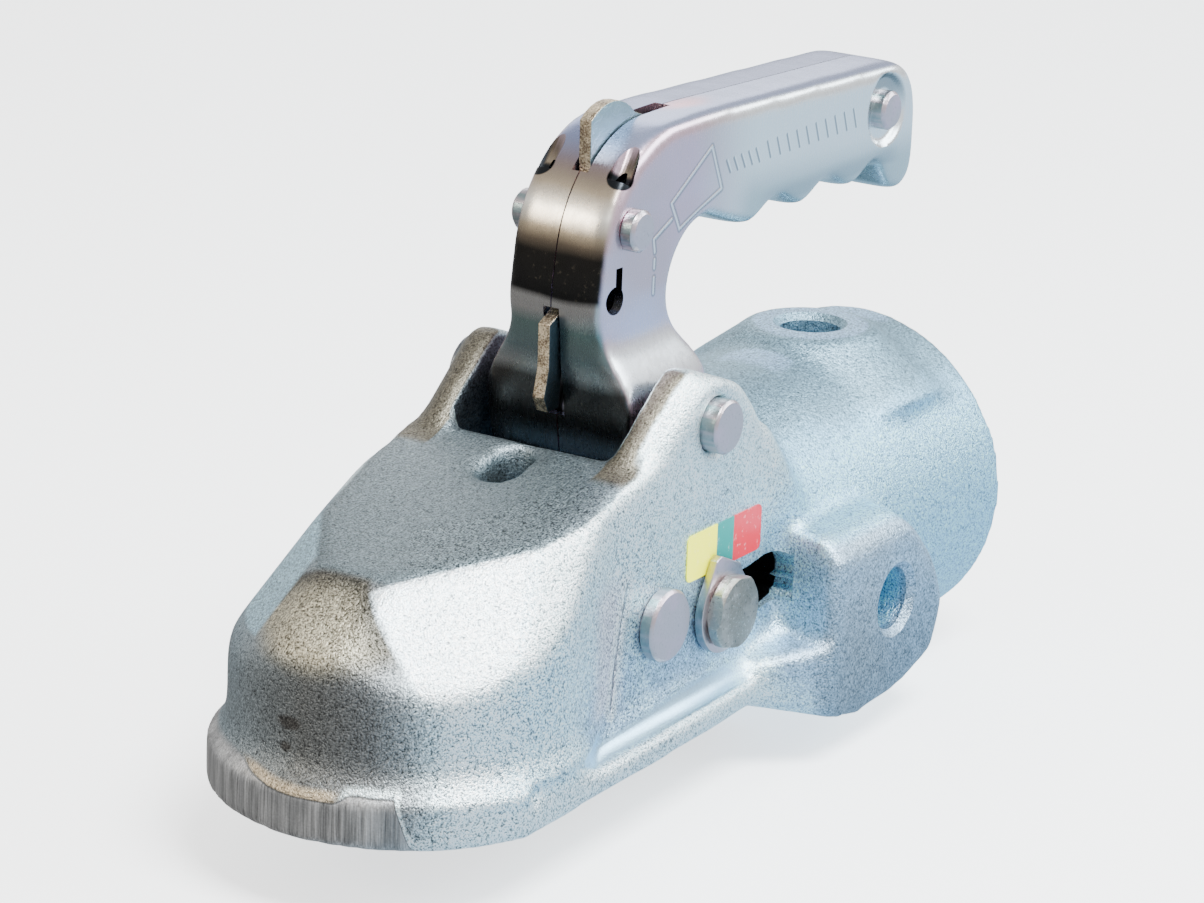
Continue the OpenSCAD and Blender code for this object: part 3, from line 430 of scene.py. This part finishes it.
    # raised outline of the arrow, its tail, and the row of slanted strokes: painted highlight on the raised
    # lines and beside each stroke, painted shade round the outline and in the strokes
    face = (-ny).ramp(0.80, 0.95)
    marks = nearest(link, x, z, look["arrow"] + look["dashes"])
    slant = [((98.5 + 3.15 * i, 88.9 + 0.10 * i), (100.2 + 3.15 * i, 86.1 + 0.02 * i)) for i in range(5)]
    slant += [((116.0 + 4.3 * i, 90.0 + 0.06 * i), (117.6 + 4.3 * i, 86.3)) for i in range(10)]
    cut = (1.0 - nearest(link, x, z, slant).ramp(0.20, 0.55)) * face
    glint = (1.0 - nearest(link, x - 0.00055, z - 0.0001, slant).ramp(0.10, 0.40)) * face
    raised = (1.0 - marks.ramp(0.15, 0.60)) * face
    shade = band(marks, 0.3, 0.5, 0.6, 1.1) * face
    colour = (cut * 0.75).mix(colour, (0.16, 0.19, 0.23))
    colour = (glint * 0.9).mix(colour, (1.0, 1.0, 1.0))
    colour = (raised * 0.7).mix(colour, (1.0, 1.0, 1.0))
    colour = (shade * 0.65).mix(colour, (0.20, 0.23, 0.28))
    scratch = noise(link, stretched(link, where, (900.0, 900.0, 160.0)), 1.0, 2.0, 0.6)
    ripple = noise(link, where, 90.0, 2.0, 0.5)
    height = ripple * 0.6 + scratch * 0.05 + fine * 0.04 + raised * 0.55
    bump = bumped(link, height, 0.5, 0.0006)
    rough = look["roughness"] + scratch * 0.10 + fine * 0.05
    finishMaterial(link, output, {"Base Color": colour, "Metallic": 1.0, "Roughness": rough,
                                  "Normal": bump})
    return material


def turnedPin(name="turnedPin", base=(0.60, 0.50, 0.53), warm=(0.66, 0.51, 0.58), edge=(0.26, 0.33, 0.34),
              roughness=0.24, grit=0.2):
    material, link, output = newMaterial(name)
    where, way = place(link), facing(link)
    ny = axes(link, way)[1]
    cloud = noise(link, where, 160.0, 3.0, 0.55)
    fine = noise(link, where, 1500.0, 2.0, 0.6)
    colour = cloud.ramp(0.45, 0.68).mix(base, warm)
    # painted reflection: round flanks mirror the dark side of the room
    flank = 1.0 - (ny * ny).ramp(0.25, 0.60)
    streak = noise(link, stretched(link, way, (3.0, 0.4, 3.0)), 1.0, 1.0, 0.5)
    colour = (flank * (0.45 + streak.ramp(0.40, 0.60) * 0.55)).mix(colour, edge)
    colour = (fine.ramp(0.60, 0.76) * grit).mix(colour, (0.85, 0.86, 0.86))
    colour = ((1.0 - fine.ramp(0.26, 0.42)) * grit * 1.4).mix(colour, (0.10, 0.10, 0.10))
    bump = bumped(link, fine * (0.4 + grit * 2.0) + cloud, 0.35, 0.00025)
    finishMaterial(link, output, {"Base Color": colour, "Metallic": 1.0,
                                  "Roughness": roughness + cloud * 0.14, "Normal": bump})
    return material


def shearedPlate():  # the catch: pale blue sides with painted shade towards their bottom, gold-brown sheared edge
    look = {"side": (0.26, 0.36, 0.39), "sideShade": (0.07, 0.10, 0.12), "gold": (0.78, 0.65, 0.46),
            "brown": (0.15, 0.11, 0.075)}
    material, link, output = newMaterial("shearedPlate")
    where, way = place(link), facing(link)
    z, ny = axes(link, where)[2], axes(link, way)[1]
    fine = noise(link, where, 2300.0, 2.0, 0.6)
    cloud = noise(link, where, 260.0, 2.0, 0.5)
    # painted shade: the sides darker towards the bottom
    side = z.ramp(0.062, 0.074).mix(look["sideShade"], look["side"])
    edge = (fine * 0.6 + cloud * 0.4).ramp(0.36, 0.64).mix(look["brown"], look["gold"])
    colour = (ny * ny).ramp(0.35, 0.65).mix(edge, side)
    bump = bumped(link, fine, 0.6, 0.0004)
    finishMaterial(link, output, {"Base Color": colour, "Metallic": 1.0,
                                  "Roughness": 0.26 + cloud * 0.16, "Normal": bump})
    return material


def labelFilm():  # three plain colour fields
    look = {"yellow": (0.84, 0.86, 0.0), "green": (0.0, 0.20, 0.18), "red": (0.52, 0.004, 0.022),
            "firstEdge": 12.2 * mm, "secondEdge": 19.2 * mm}
    material, link, output = newMaterial("labelFilm")
    where = place(link)
    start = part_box("indicator_label")[0].x
    x = axes(link, where)[0]
    wobble = noise(link, where, 60.0, 2.0, 0.5) * 0.05
    green = x.ramp(start + look["firstEdge"] - 0.00008, start + look["firstEdge"] + 0.00008)
    red = x.ramp(start + look["secondEdge"] - 0.00008, start + look["secondEdge"] + 0.00008)
    colour = green.mix(look["yellow"], look["green"])
    colour = red.mix(colour, look["red"])
    colour = (noise(link, where, 700.0, 2.0, 0.6).ramp(0.6, 0.75) * 0.25).mix(colour, (0.8, 0.8, 0.78))
    bump = bumped(link, noise(link, where, 500.0, 2.0, 0.5), 0.2, 0.0002)
    finishMaterial(link, output, {"Base Color": colour, "Roughness": 0.35 + wobble, "Normal": bump})
    return material


zincForging = blastedZinc()
zincSheet = brightSheet()
pinSteel = turnedPin()
boltSteel = turnedPin("boltSteel", (0.29, 0.27, 0.235), (0.42, 0.39, 0.36), (0.40, 0.44, 0.42), 0.34, 0.5)
catchSteel = shearedPlate()
darkSteel = turnedPin("darkSteel", (0.12, 0.12, 0.125), (0.07, 0.065, 0.06), (0.07, 0.07, 0.07), 0.42)
springWire = turnedPin("springWire", (0.22, 0.23, 0.25), (0.14, 0.14, 0.14), (0.16, 0.17, 0.18), 0.3)
bronze = turnedPin("bronze", (0.62, 0.44, 0.22), (0.42, 0.28, 0.14), (0.40, 0.28, 0.15), 0.35)
labelPrint = labelFilm()
finishOf = {"zinc_forging": zincForging, "zinc_sheet": zincSheet, "zinc_pins": pinSteel,
            "catch_steel": catchSteel, "dark_steel": darkSteel, "spring_steel": springWire,
            "bush_bronze": bronze, "indicator_colours": labelPrint}
print("materials made")


def newObject(name, mesh):
    thing = bpy.data.objects.new(name, mesh)
    scene.collection.objects.link(thing)
    return thing


def welded(node):  # a closed copy of a node's mesh
    grid = bmesh.new()
    grid.from_mesh(frame["nodes"][node].data)
    bmesh.ops.remove_doubles(grid, verts=grid.verts, dist=1e-6)
    return grid


def prism(name, outline, low, high, view):  # outline drawn in the side view "xz" or the front view "yz"
    put = {"xz": lambda a, b, c: (a, c, b), "yz": lambda a, b, c: (c, a, b)}[view]
    grid = bmesh.new()
    ends = []
    for depth in (low, high):
        ends.append([grid.verts.new(Vector(put(a, b, depth)) * mm) for a, b in outline])
    count = len(outline)
    grid.faces.new(ends[0])
    grid.faces.new(ends[1][::-1])
    for i in range(count):
        j = (i + 1) % count
        grid.faces.new([ends[0][j], ends[0][i], ends[1][i], ends[1][j]])
    bmesh.ops.recalc_face_normals(grid, faces=grid.faces)
    mesh = bpy.data.meshes.new(name)
    grid.to_mesh(mesh)
    grid.free()
    return newObject(name, mesh)


def roundBar(name, centre, axis, profile, steps=64):  # profile is (along, radius) pairs in mm
    grid = bmesh.new()
    turn = Vector((0, 0, 1)).rotation_difference(Vector(axis)).to_matrix()
    angles = [2 * math.pi * i / steps for i in range(steps)]
    rings = []
    for along, radius in profile:
        ring = [Vector((radius * math.cos(a), radius * math.sin(a), along)) for a in angles]
        rings.append([grid.verts.new((Vector(centre) + turn @ point) * mm) for point in ring])
    for lower, upper in zip(rings, rings[1:]):
        for i in range(steps):
            j = (i + 1) % steps
            grid.faces.new([lower[i], lower[j], upper[j], upper[i]])
    grid.faces.new(rings[0][::-1])
    grid.faces.new(rings[-1])
    bmesh.ops.recalc_face_normals(grid, faces=grid.faces)
    mesh = bpy.data.meshes.new(name)
    grid.to_mesh(mesh)
    grid.free()
    return newObject(name, mesh)


def bake(thing):  # applies the modifiers
    deps = bpy.context.evaluated_depsgraph_get()
    mesh = bpy.data.meshes.new_from_object(thing.evaluated_get(deps), depsgraph=deps)
    thing.modifiers.clear()
    old = thing.data
    thing.data = mesh
    if old.users == 0:
        bpy.data.meshes.remove(old)
    return thing


def combine(thing, other, operation):
    cut = thing.modifiers.new("cut", "BOOLEAN")
    cut.operation, cut.object, cut.solver = operation, other, "MANIFOLD"
    bake(thing)
    bpy.data.objects.remove(other)
    return thing


def voxels(thing, size):
    grid = thing.modifiers.new("grid", "REMESH")
    grid.mode, grid.voxel_size, grid.use_smooth_shade = "VOXEL", size * mm, True
    return bake(thing)


def points(thing):
    co = np.zeros(len(thing.data.vertices) * 3)
    thing.data.vertices.foreach_get("co", co)
    return co.reshape(-1, 3) / mm


def setPoints(thing, co):
    thing.data.vertices.foreach_set("co", (co * mm).ravel())
    thing.data.update()


def relax(thing, steps, weight):  # rounds edges; weight is a share per point, from its place
    co = points(thing)
    edges = np.zeros(len(thing.data.edges) * 2, int)
    thing.data.edges.foreach_get("vertices", edges)
    a, b = edges.reshape(-1, 2).T
    count = np.maximum(np.bincount(a, minlength=len(co)) + np.bincount(b, minlength=len(co)), 1)
    share = weight(co)[:, None] * 0.6
    for _ in range(steps):
        mean = np.stack([np.bincount(a, co[b, k], len(co)) + np.bincount(b, co[a, k], len(co))
                         for k in range(3)], 1) / count[:, None]
        co = co + (mean - co) * share
    setPoints(thing, co)
    return thing


def arcPoints(x, z, r, a0, a1, n):
    return [(x + r * math.cos(math.radians(a0 + (a1 - a0) * i / n)),
             z + r * math.sin(math.radians(a0 + (a1 - a0) * i / n))) for i in range(n + 1)]


def soft(value, low, high):
    t = np.clip((value - low) / (high - low), 0, 1)
    return t * t * (3 - 2 * t)


def smoothShade(thing, angle):
    mesh = thing.data
    mesh.polygons.foreach_set("use_smooth", [True] * len(mesh.polygons))
    mesh.set_sharp_from_angle(angle=math.radians(angle))


def dress(thing, body, slotName, material, *nodes):
    thing.data.materials.clear()
    thing.data.materials.append(material)
    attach(thing, body)
    if nodes:
        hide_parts(*nodes)
    return thing


def roundedNode(node, width, segments=2, angle=35, material=None):  # the node with its edges broken
    grid = welded(node)
    sharp = [e for e in grid.edges if len(e.link_faces) == 2 and e.calc_face_angle(0) > math.radians(angle)]
    bmesh.ops.bevel(grid, geom=sharp, offset=width * mm, segments=segments, profile=0.6,
                    affect="EDGES", clamp_overlap=True)
    mesh = bpy.data.meshes.new(node + "_looks")
    grid.to_mesh(mesh)
    grid.free()
    thing = newObject(node + "_looks", mesh)
    smoothShade(thing, 40)
    slotName = slotOf[node]
    return dress(thing, bodyOf[node], slotName, material or finishOf[slotName], node)


def makeHousing():
    size = {"voxel": 1.15, "relaxSteps": 24, "topHole": 7.25, "crossHole": 7.25, "holeEdge": 3.0,
            "plug": 9.5, "shy": 0.02, "topX": 162.0, "crossX": 122.0, "crossZ": -11.5, "tubeZ": -5.0,
            "blockHalf": 48.5, "padZ": 36.0, "boltX": 71.3, "boltZ": -3.0, "slotHalf": 5.5,
            "slotEnd": 94.4, "earHalf": 31.0}
    grid = welded("housing")
    mesh = bpy.data.meshes.new("housing_looks")
    grid.to_mesh(mesh)
    grid.free()
    body = newObject("housing_looks", mesh)
    # holes are filled, so that the rounding leaves them alone, and cut again afterwards
    plug, shy = size["plug"], size["shy"]
    combine(body, roundBar("fill", (size["topX"], 0, 0), (0, 0, 1),
                           [(25.5, plug), (size["padZ"] - shy, plug)], 48), "UNION")
    for side in (-1, 1):
        near, far = sorted((side * 34.0, side * (size["blockHalf"] - shy)))
        combine(body, roundBar("fill", (size["crossX"], 0, size["crossZ"]), (0, 1, 0),
                               [(near, plug), (far, plug)], 48), "UNION")
        near, far = sorted((side * 21.5, side * (size["earHalf"] - shy)))
        combine(body, prism("fill", [(63, -10), (63, 5), (99, 5), (99, -10)], near, far, "xz"), "UNION")
    voxels(body, size["voxel"])

    def share(co):
        x, y, z = co.T
        w = 0.30 + 0.70 * (1 - soft(x, 24, 38))  # the dome is the softest
        w = np.maximum(w, 0.85 * soft(x, 96, 104) * (1 - soft(x, 150, 160)))
        w *= 1 - 0.88 * soft(-z, 14.5, 17.5) * (1 - soft(x, 60, 80))  # the lip keeps its band
        w = np.maximum(w, soft(x, 140, 150) * soft(z, 8, 14) * (1 - soft(z, 33.6, 34.6)))
        w *= 1 - 0.55 * soft(x, 184, 187.5)
        w[(np.hypot(y, z - size["tubeZ"]) < 31.5) & (x > 104)] *= 0.2  # the bore stays round
        return w
    relax(body, size["relaxSteps"], share)

    def bored(radius, rim, start, end):  # a bore with a broken edge at its rim
        wide = radius + size["holeEdge"]
        return [(start, radius), (rim - 1.6, radius), (rim + 1.4, wide), (end, wide)]

    combine(body, roundBar("cut", (size["topX"], 0, 0), (0, 0, 1),
                           bored(size["topHole"], size["padZ"], 15, 45)), "DIFFERENCE")
    for side in (-1, 1):
        combine(body, roundBar("cut", (size["crossX"], 0, size["crossZ"]), (0, side, 0),
                               bored(size["crossHole"], size["blockHalf"], 20, 60)), "DIFFERENCE")
    # the indicator slot with its ragged rear end
    bx, bz, h, end = size["boltX"], size["boltZ"], size["slotHalf"], size["slotEnd"]
    slot = (arcPoints(bx - 0.7, bz, h, 270, 90, 12)
            + [(end - 10, bz + h + 0.4), (end - 3.4, bz + h + 1.3), (end + 0.8, bz + h + 1.4),
               (end + 3.4, bz + 5.2), (end + 5.0, bz + 2.6), (end + 4.6, bz + 0.9), (end + 2.4, bz + 0.4),
               (end + 5.1, bz - 0.9), (end + 4.8, bz - 2.2), (end + 3.0, bz - 3.4), (end + 2.6, bz - 4.3),
               (end - 3.4, bz - h)])
    combine(body, prism("cut", slot, -36, 36, "xz"), "DIFFERENCE")
    smoothShade(body, 38)
    return dress(body, "housing_body", "zinc_forging", zincForging, "housing")


makeHousing()
print("housing made")


def handleSide(size):  # the side view, as in the solids
    px, pz, top, end = size["pivotX"], size["pivotZ"], size["gripTop"], size["gripEnd"]
    front, under = px - 19, top - 27.8
    hollows = [(x, under - size["hollow"] * math.cos(2 * math.pi * (x - 112) / 23))
               for x in [112 + 23 * i / 8 for i in range(20, -1, -1)]]
    return ([(px - 13.4, pz - 10), (px - 16.4, pz + 8), (front + 1.2, pz + 13), (front + 1.6, pz + 19),
             (front - 0.2, pz + 24), (front, pz + 27), (front + 1.6, pz + 38)]
            + arcPoints(px + 12.5, top - 31, 31, 158, 98, 9)
            + [(px + 25, top - 0.1), (end - 13, top - 3.0)]
            + arcPoints(end - 12, top - 15.0, 12, 80, 0, 6)
            + [(end, top - 25)] + arcPoints(end - 6.5, top - 28.5, 6.5, -10, -105, 6)
            + [(end - 10.8, top - 33.6), (end - 13.2, top - 29.8), (end - 15.2, top - 27.3)]
            + hollows + [(104, under + 0.2)] + arcPoints(px + 25.5, top - 39.2, 15.2, 88, 178, 8)
            + [(px + 12.4, pz + 16), (px + 16.6, pz + 10.5), (px + 18, pz + 5.5)]
            + arcPoints(px, pz, 12.6, 0, -125, 10))


def handleFront(size):
    f, g = size["footHalf"], size["gripHalf"]
    half = ([(f - 1, 20), (f, 44), (f - 0.6, 47)] + arcPoints(f + 3.2, 59.2, f + 3.2 - g, 222, 182, 6)
            + [(g, 140)])
    return half + [(-y, z) for y, z in half[::-1]]


def makeHandle():
    size = {"pivotX": 67.7, "pivotZ": 39.5, "gripTop": 101.2, "gripEnd": 187.0, "hollow": 2.2,
            "footHalf": 19.0, "gripHalf": 12.5, "sheet": 2.2, "seam": 0.15, "voxel": 0.7,
            "relaxSteps": 60, "pivotHole": 6.05, "rivetHole": 3.0, "neckX": 60.2, "neckZ": 81.0,
            "endX": 171.0, "endZ": 87.6, "dish": 1.6, "keyX": 54.7, "keyZ": 66.4, "keyHole": 3.1,
            "slotHalf": 2.0, "shoulderHole": 2.9}
    skin = prism("skin", handleSide(size), -size["footHalf"], size["footHalf"], "xz")
    combine(skin, prism("front", handleFront(size), 0, 250, "yz"), "INTERSECT")
    voxels(skin, size["voxel"])
    relax(skin, size["relaxSteps"], lambda co: 1 - 0.8 * soft(-co[:, 2], -50, -40))  # less at the foot
    co = points(skin)
    for side in (-1, 1):  # round dish around the end rivet
        reach = np.hypot(co[:, 0] - size["endX"], co[:, 2] - size["endZ"])
        wall = (co[:, 1] * side > 8)
        co[:, 1] -= side * wall * size["dish"] * (1 - soft(reach, 7.0, 9.0))
    setPoints(skin, co)
    px, pz, keyX, keyZ = size["pivotX"], size["pivotZ"], size["keyX"], size["keyZ"]
    inner, slotHalf = size["footHalf"] - size["sheet"], size["slotHalf"]
    # side views of what is cut away: the room in the foot, the catch's two slots, the keyhole's stem
    cuts = [([(px - 11, 20), (px - 11, pz - 4), (px, pz + 8.5), (px + 30, pz + 8.5), (px + 30, 20)], inner),
            ([(42, pz - 0.1), (42, pz + 24.6), (px - 14, pz + 24.6), (px - 11, pz - 0.1)], slotHalf),
            ([(58.4, 88), (58.4, 110), (91, 110), (91, 88)], slotHalf)]
    stem = [(keyX, keyZ), (keyX + 2.4, keyZ), (keyX + 2.4, keyZ + 7.0), (keyX, keyZ + 7.0)]

    def through(x, z, radius, steps=48):
        return roundBar("hole", (x, -30, z), (0, 1, 0), [(0, radius), (60, radius)], steps)

    for name, side in (("handle_left_shell", 1), ("handle_right_shell", -1)):
        grid = bmesh.new()
        grid.from_mesh(skin.data)
        bmesh.ops.bisect_plane(grid, geom=grid.verts[:] + grid.edges[:] + grid.faces[:],
                               plane_co=(0, side * size["seam"] * mm, 0), plane_no=(0, -side, 0),
                               clear_outer=True)
        mesh = bpy.data.meshes.new(name + "_looks")
        grid.to_mesh(mesh)
        grid.free()
        shell = newObject(name + "_looks", mesh)
        wall = shell.modifiers.new("wall", "SOLIDIFY")
        wall.thickness, wall.offset, wall.use_even_offset = size["sheet"] * mm, -1, True
        bake(shell)
        for outline, reach in cuts:
            combine(shell, prism("cut", outline, -reach, reach, "xz"), "DIFFERENCE")
        combine(shell, through(keyX, keyZ, size["keyHole"], 32), "DIFFERENCE")
        combine(shell, prism("hole", stem, -30, 30, "xz"), "DIFFERENCE")
        for x, z, radius in ((px, pz, size["pivotHole"]), (size["neckX"], size["neckZ"], size["rivetHole"]),
                             (size["endX"], size["endZ"], size["rivetHole"])):
            combine(shell, through(x, z, radius), "DIFFERENCE")
        shoulder = (math.sin(math.radians(35)), 0, math.cos(math.radians(35)))
        start, radius = Vector((60.4, side * 9.9, 94.3)) - Vector(shoulder) * 3.6, size["shoulderHole"]
        combine(shell, roundBar("hole", start, shoulder, [(0, radius), (12, radius)], 32), "DIFFERENCE")
        smoothShade(shell, 38)
        dress(shell, "handle", "zinc_sheet", zincSheet, name)
    bpy.data.objects.remove(skin)


makeHandle()
print("handle made")


edgeOf = {"handle_pivot_pin": 0.5, "neck_rivet": 0.5, "end_rivet": 0.5, "front_pin": 0.4,
          "indicator_bolt": 0.5, "safety_catch": 0.35, "indicator_pointer": 0.25, "ball_jaw": 0.6,
          "operating_cam": 0.3, "neck_spacer": 0.2, "end_spacer": 0.2, "bolt_sleeve_left": 0.3,
          "bolt_sleeve_right": 0.3, "cam_bush": 0.3, "pivot_pin_ring": 0.1, "front_pin_ring": 0.1,
          "bolt_ring": 0.1}
for node, width in edgeOf.items():
    roundedNode(node, width, material=boltSteel if node == "indicator_bolt" else None)

label = frame["nodes"]["indicator_label"]
label.data.materials.clear()
label.data.materials.append(labelPrint)


def makeSprings():
    for node, a, b, start, end in (
            ("handle_spring", "housing_body", "jaw_carriage", (0.0677, 0, 0.027), (0.0677, 0, 0.007)),
            ("catch_spring", "handle", "catch", (0.0755, 0, 0.0665), (0.0577, 0, 0.0665))):
        mesh = bpy.data.meshes.new(node + "_looks")
        grid = welded(node)
        grid.to_mesh(mesh)
        grid.free()
        coil = newObject(node + "_looks", mesh)
        smoothShade(coil, 50)
        coil.data.materials.append(springWire)
        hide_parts(node)
        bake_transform(coil)


makeSprings()
print("small parts made")


def makeStudio():
    light = {"keyPower": 42.0, "windowPower": 24.0, "warmPower": 6.0, "rimPower": 4.0, "world": 0.85,
             "floorGlow": 1.6, "mirrorGap": 0.0004}
    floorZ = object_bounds()[0].z

    def sheet(name, reach, height):
        mesh = bpy.data.meshes.new(name)
        mesh.from_pydata([(-reach, -reach, height), (reach, -reach, height), (reach, reach, height),
                          (-reach, reach, height)], [], [(0, 1, 2, 3)])
        thing = newObject(name, mesh)
        return thing

    floor = sheet("floor", 6, floorZ)
    material, link, output = newMaterial("paleFloor")
    tint = noise(link, place(link), 3.0, 2.0, 0.5).mix((0.90, 0.90, 0.90), (0.92, 0.92, 0.92))
    finishMaterial(link, output, {"Base Color": tint, "Roughness": 0.8, "Emission Color": (1, 1, 1, 1),
                                  "Emission Strength": light["floorGlow"]})
    floor.data.materials.append(material)
    # a glowing sheet seen only in reflections paints what the metal mirrors instead of the white floor: pale
    # blue beside it, dark in front
    mirror = sheet("mirrored", 4, floorZ + light["mirrorGap"])
    material, link, output = newMaterial("mirroredRoom")
    x, y = axes(link, place(link))[:2]
    shade = noise(link, place(link), 9.0, 2.0, 0.5)
    beside = (x * 0.9 - y + shade * 0.04).ramp(-0.03, 0.06)
    glow = beside.mix((0.30, 0.30, 0.30), (0.72, 1.05, 1.35))
    finishMaterial(link, output, {"Base Color": (0, 0, 0, 1), "Roughness": 1.0, "Emission Color": glow,
                                  "Emission Strength": 1.0})
    mirror.data.materials.append(material)
    mirror.visible_camera = mirror.visible_diffuse = mirror.visible_shadow = False
    world = bpy.data.worlds.new("studio")
    scene.world = world
    world.use_nodes = True
    world.node_tree.nodes["Background"].inputs[0].default_value = (1, 1, 1, 1)
    world.node_tree.nodes["Background"].inputs[1].default_value = light["world"]

    def area(name, spot, aim, width, height, power, colour=(1, 1, 1)):
        data = bpy.data.lights.new(name, "AREA")
        data.shape, data.size, data.size_y = "RECTANGLE", width, height
        data.energy, data.color = power, colour
        lamp = bpy.data.objects.new(name, data)
        lamp.location = spot
        lamp.rotation_mode = "QUATERNION"
        lamp.rotation_quaternion = (Vector(aim) - Vector(spot)).to_track_quat("-Z", "Y")
        lamp.visible_camera = False
        scene.collection.objects.link(lamp)

    area("key", (-0.12, -0.55, 1.15), (0.02, 0, 0.02), 0.55, 0.55, light["keyPower"], (0.94, 0.98, 1.0))
    area("window", (0.95, -0.90, 0.88), (0.08, 0, 0.02), 1.6, 0.5, light["windowPower"], (0.82, 0.94, 1.0))
    area("warm", (-1.05, 0.77, 0.77), (0.05, 0, 0.09), 0.6, 0.28, light["warmPower"], (1.0, 0.90, 0.74))
    area("rim", (1.2, 0.9, 0.7), (0.1, 0, 0.05), 0.8, 0.8, light["rimPower"])


def makeCamera():
    lens = {"place": (-0.6965, -0.4802, 0.3124), "mm": 4324.93 / 1204 * 36,
            "right": (0.53946, -0.84125, 0.03627), "up": (0.23506, 0.19182, 0.95288),
            "back": (-0.80855, -0.50550, 0.30121)}
    data = bpy.data.cameras.new("camera")
    data.sensor_fit, data.sensor_width, data.lens = "HORIZONTAL", 36.0, lens["mm"]
    data.clip_start, data.clip_end = 0.05, 20
    camera = bpy.data.objects.new("camera", data)
    turn = Matrix((lens["right"], lens["up"], lens["back"])).transposed()
    camera.matrix_world = Matrix.Translation(lens["place"]) @ turn.to_4x4()
    scene.collection.objects.link(camera)
    scene.camera = camera


makeStudio()
makeCamera()
print("studio made")
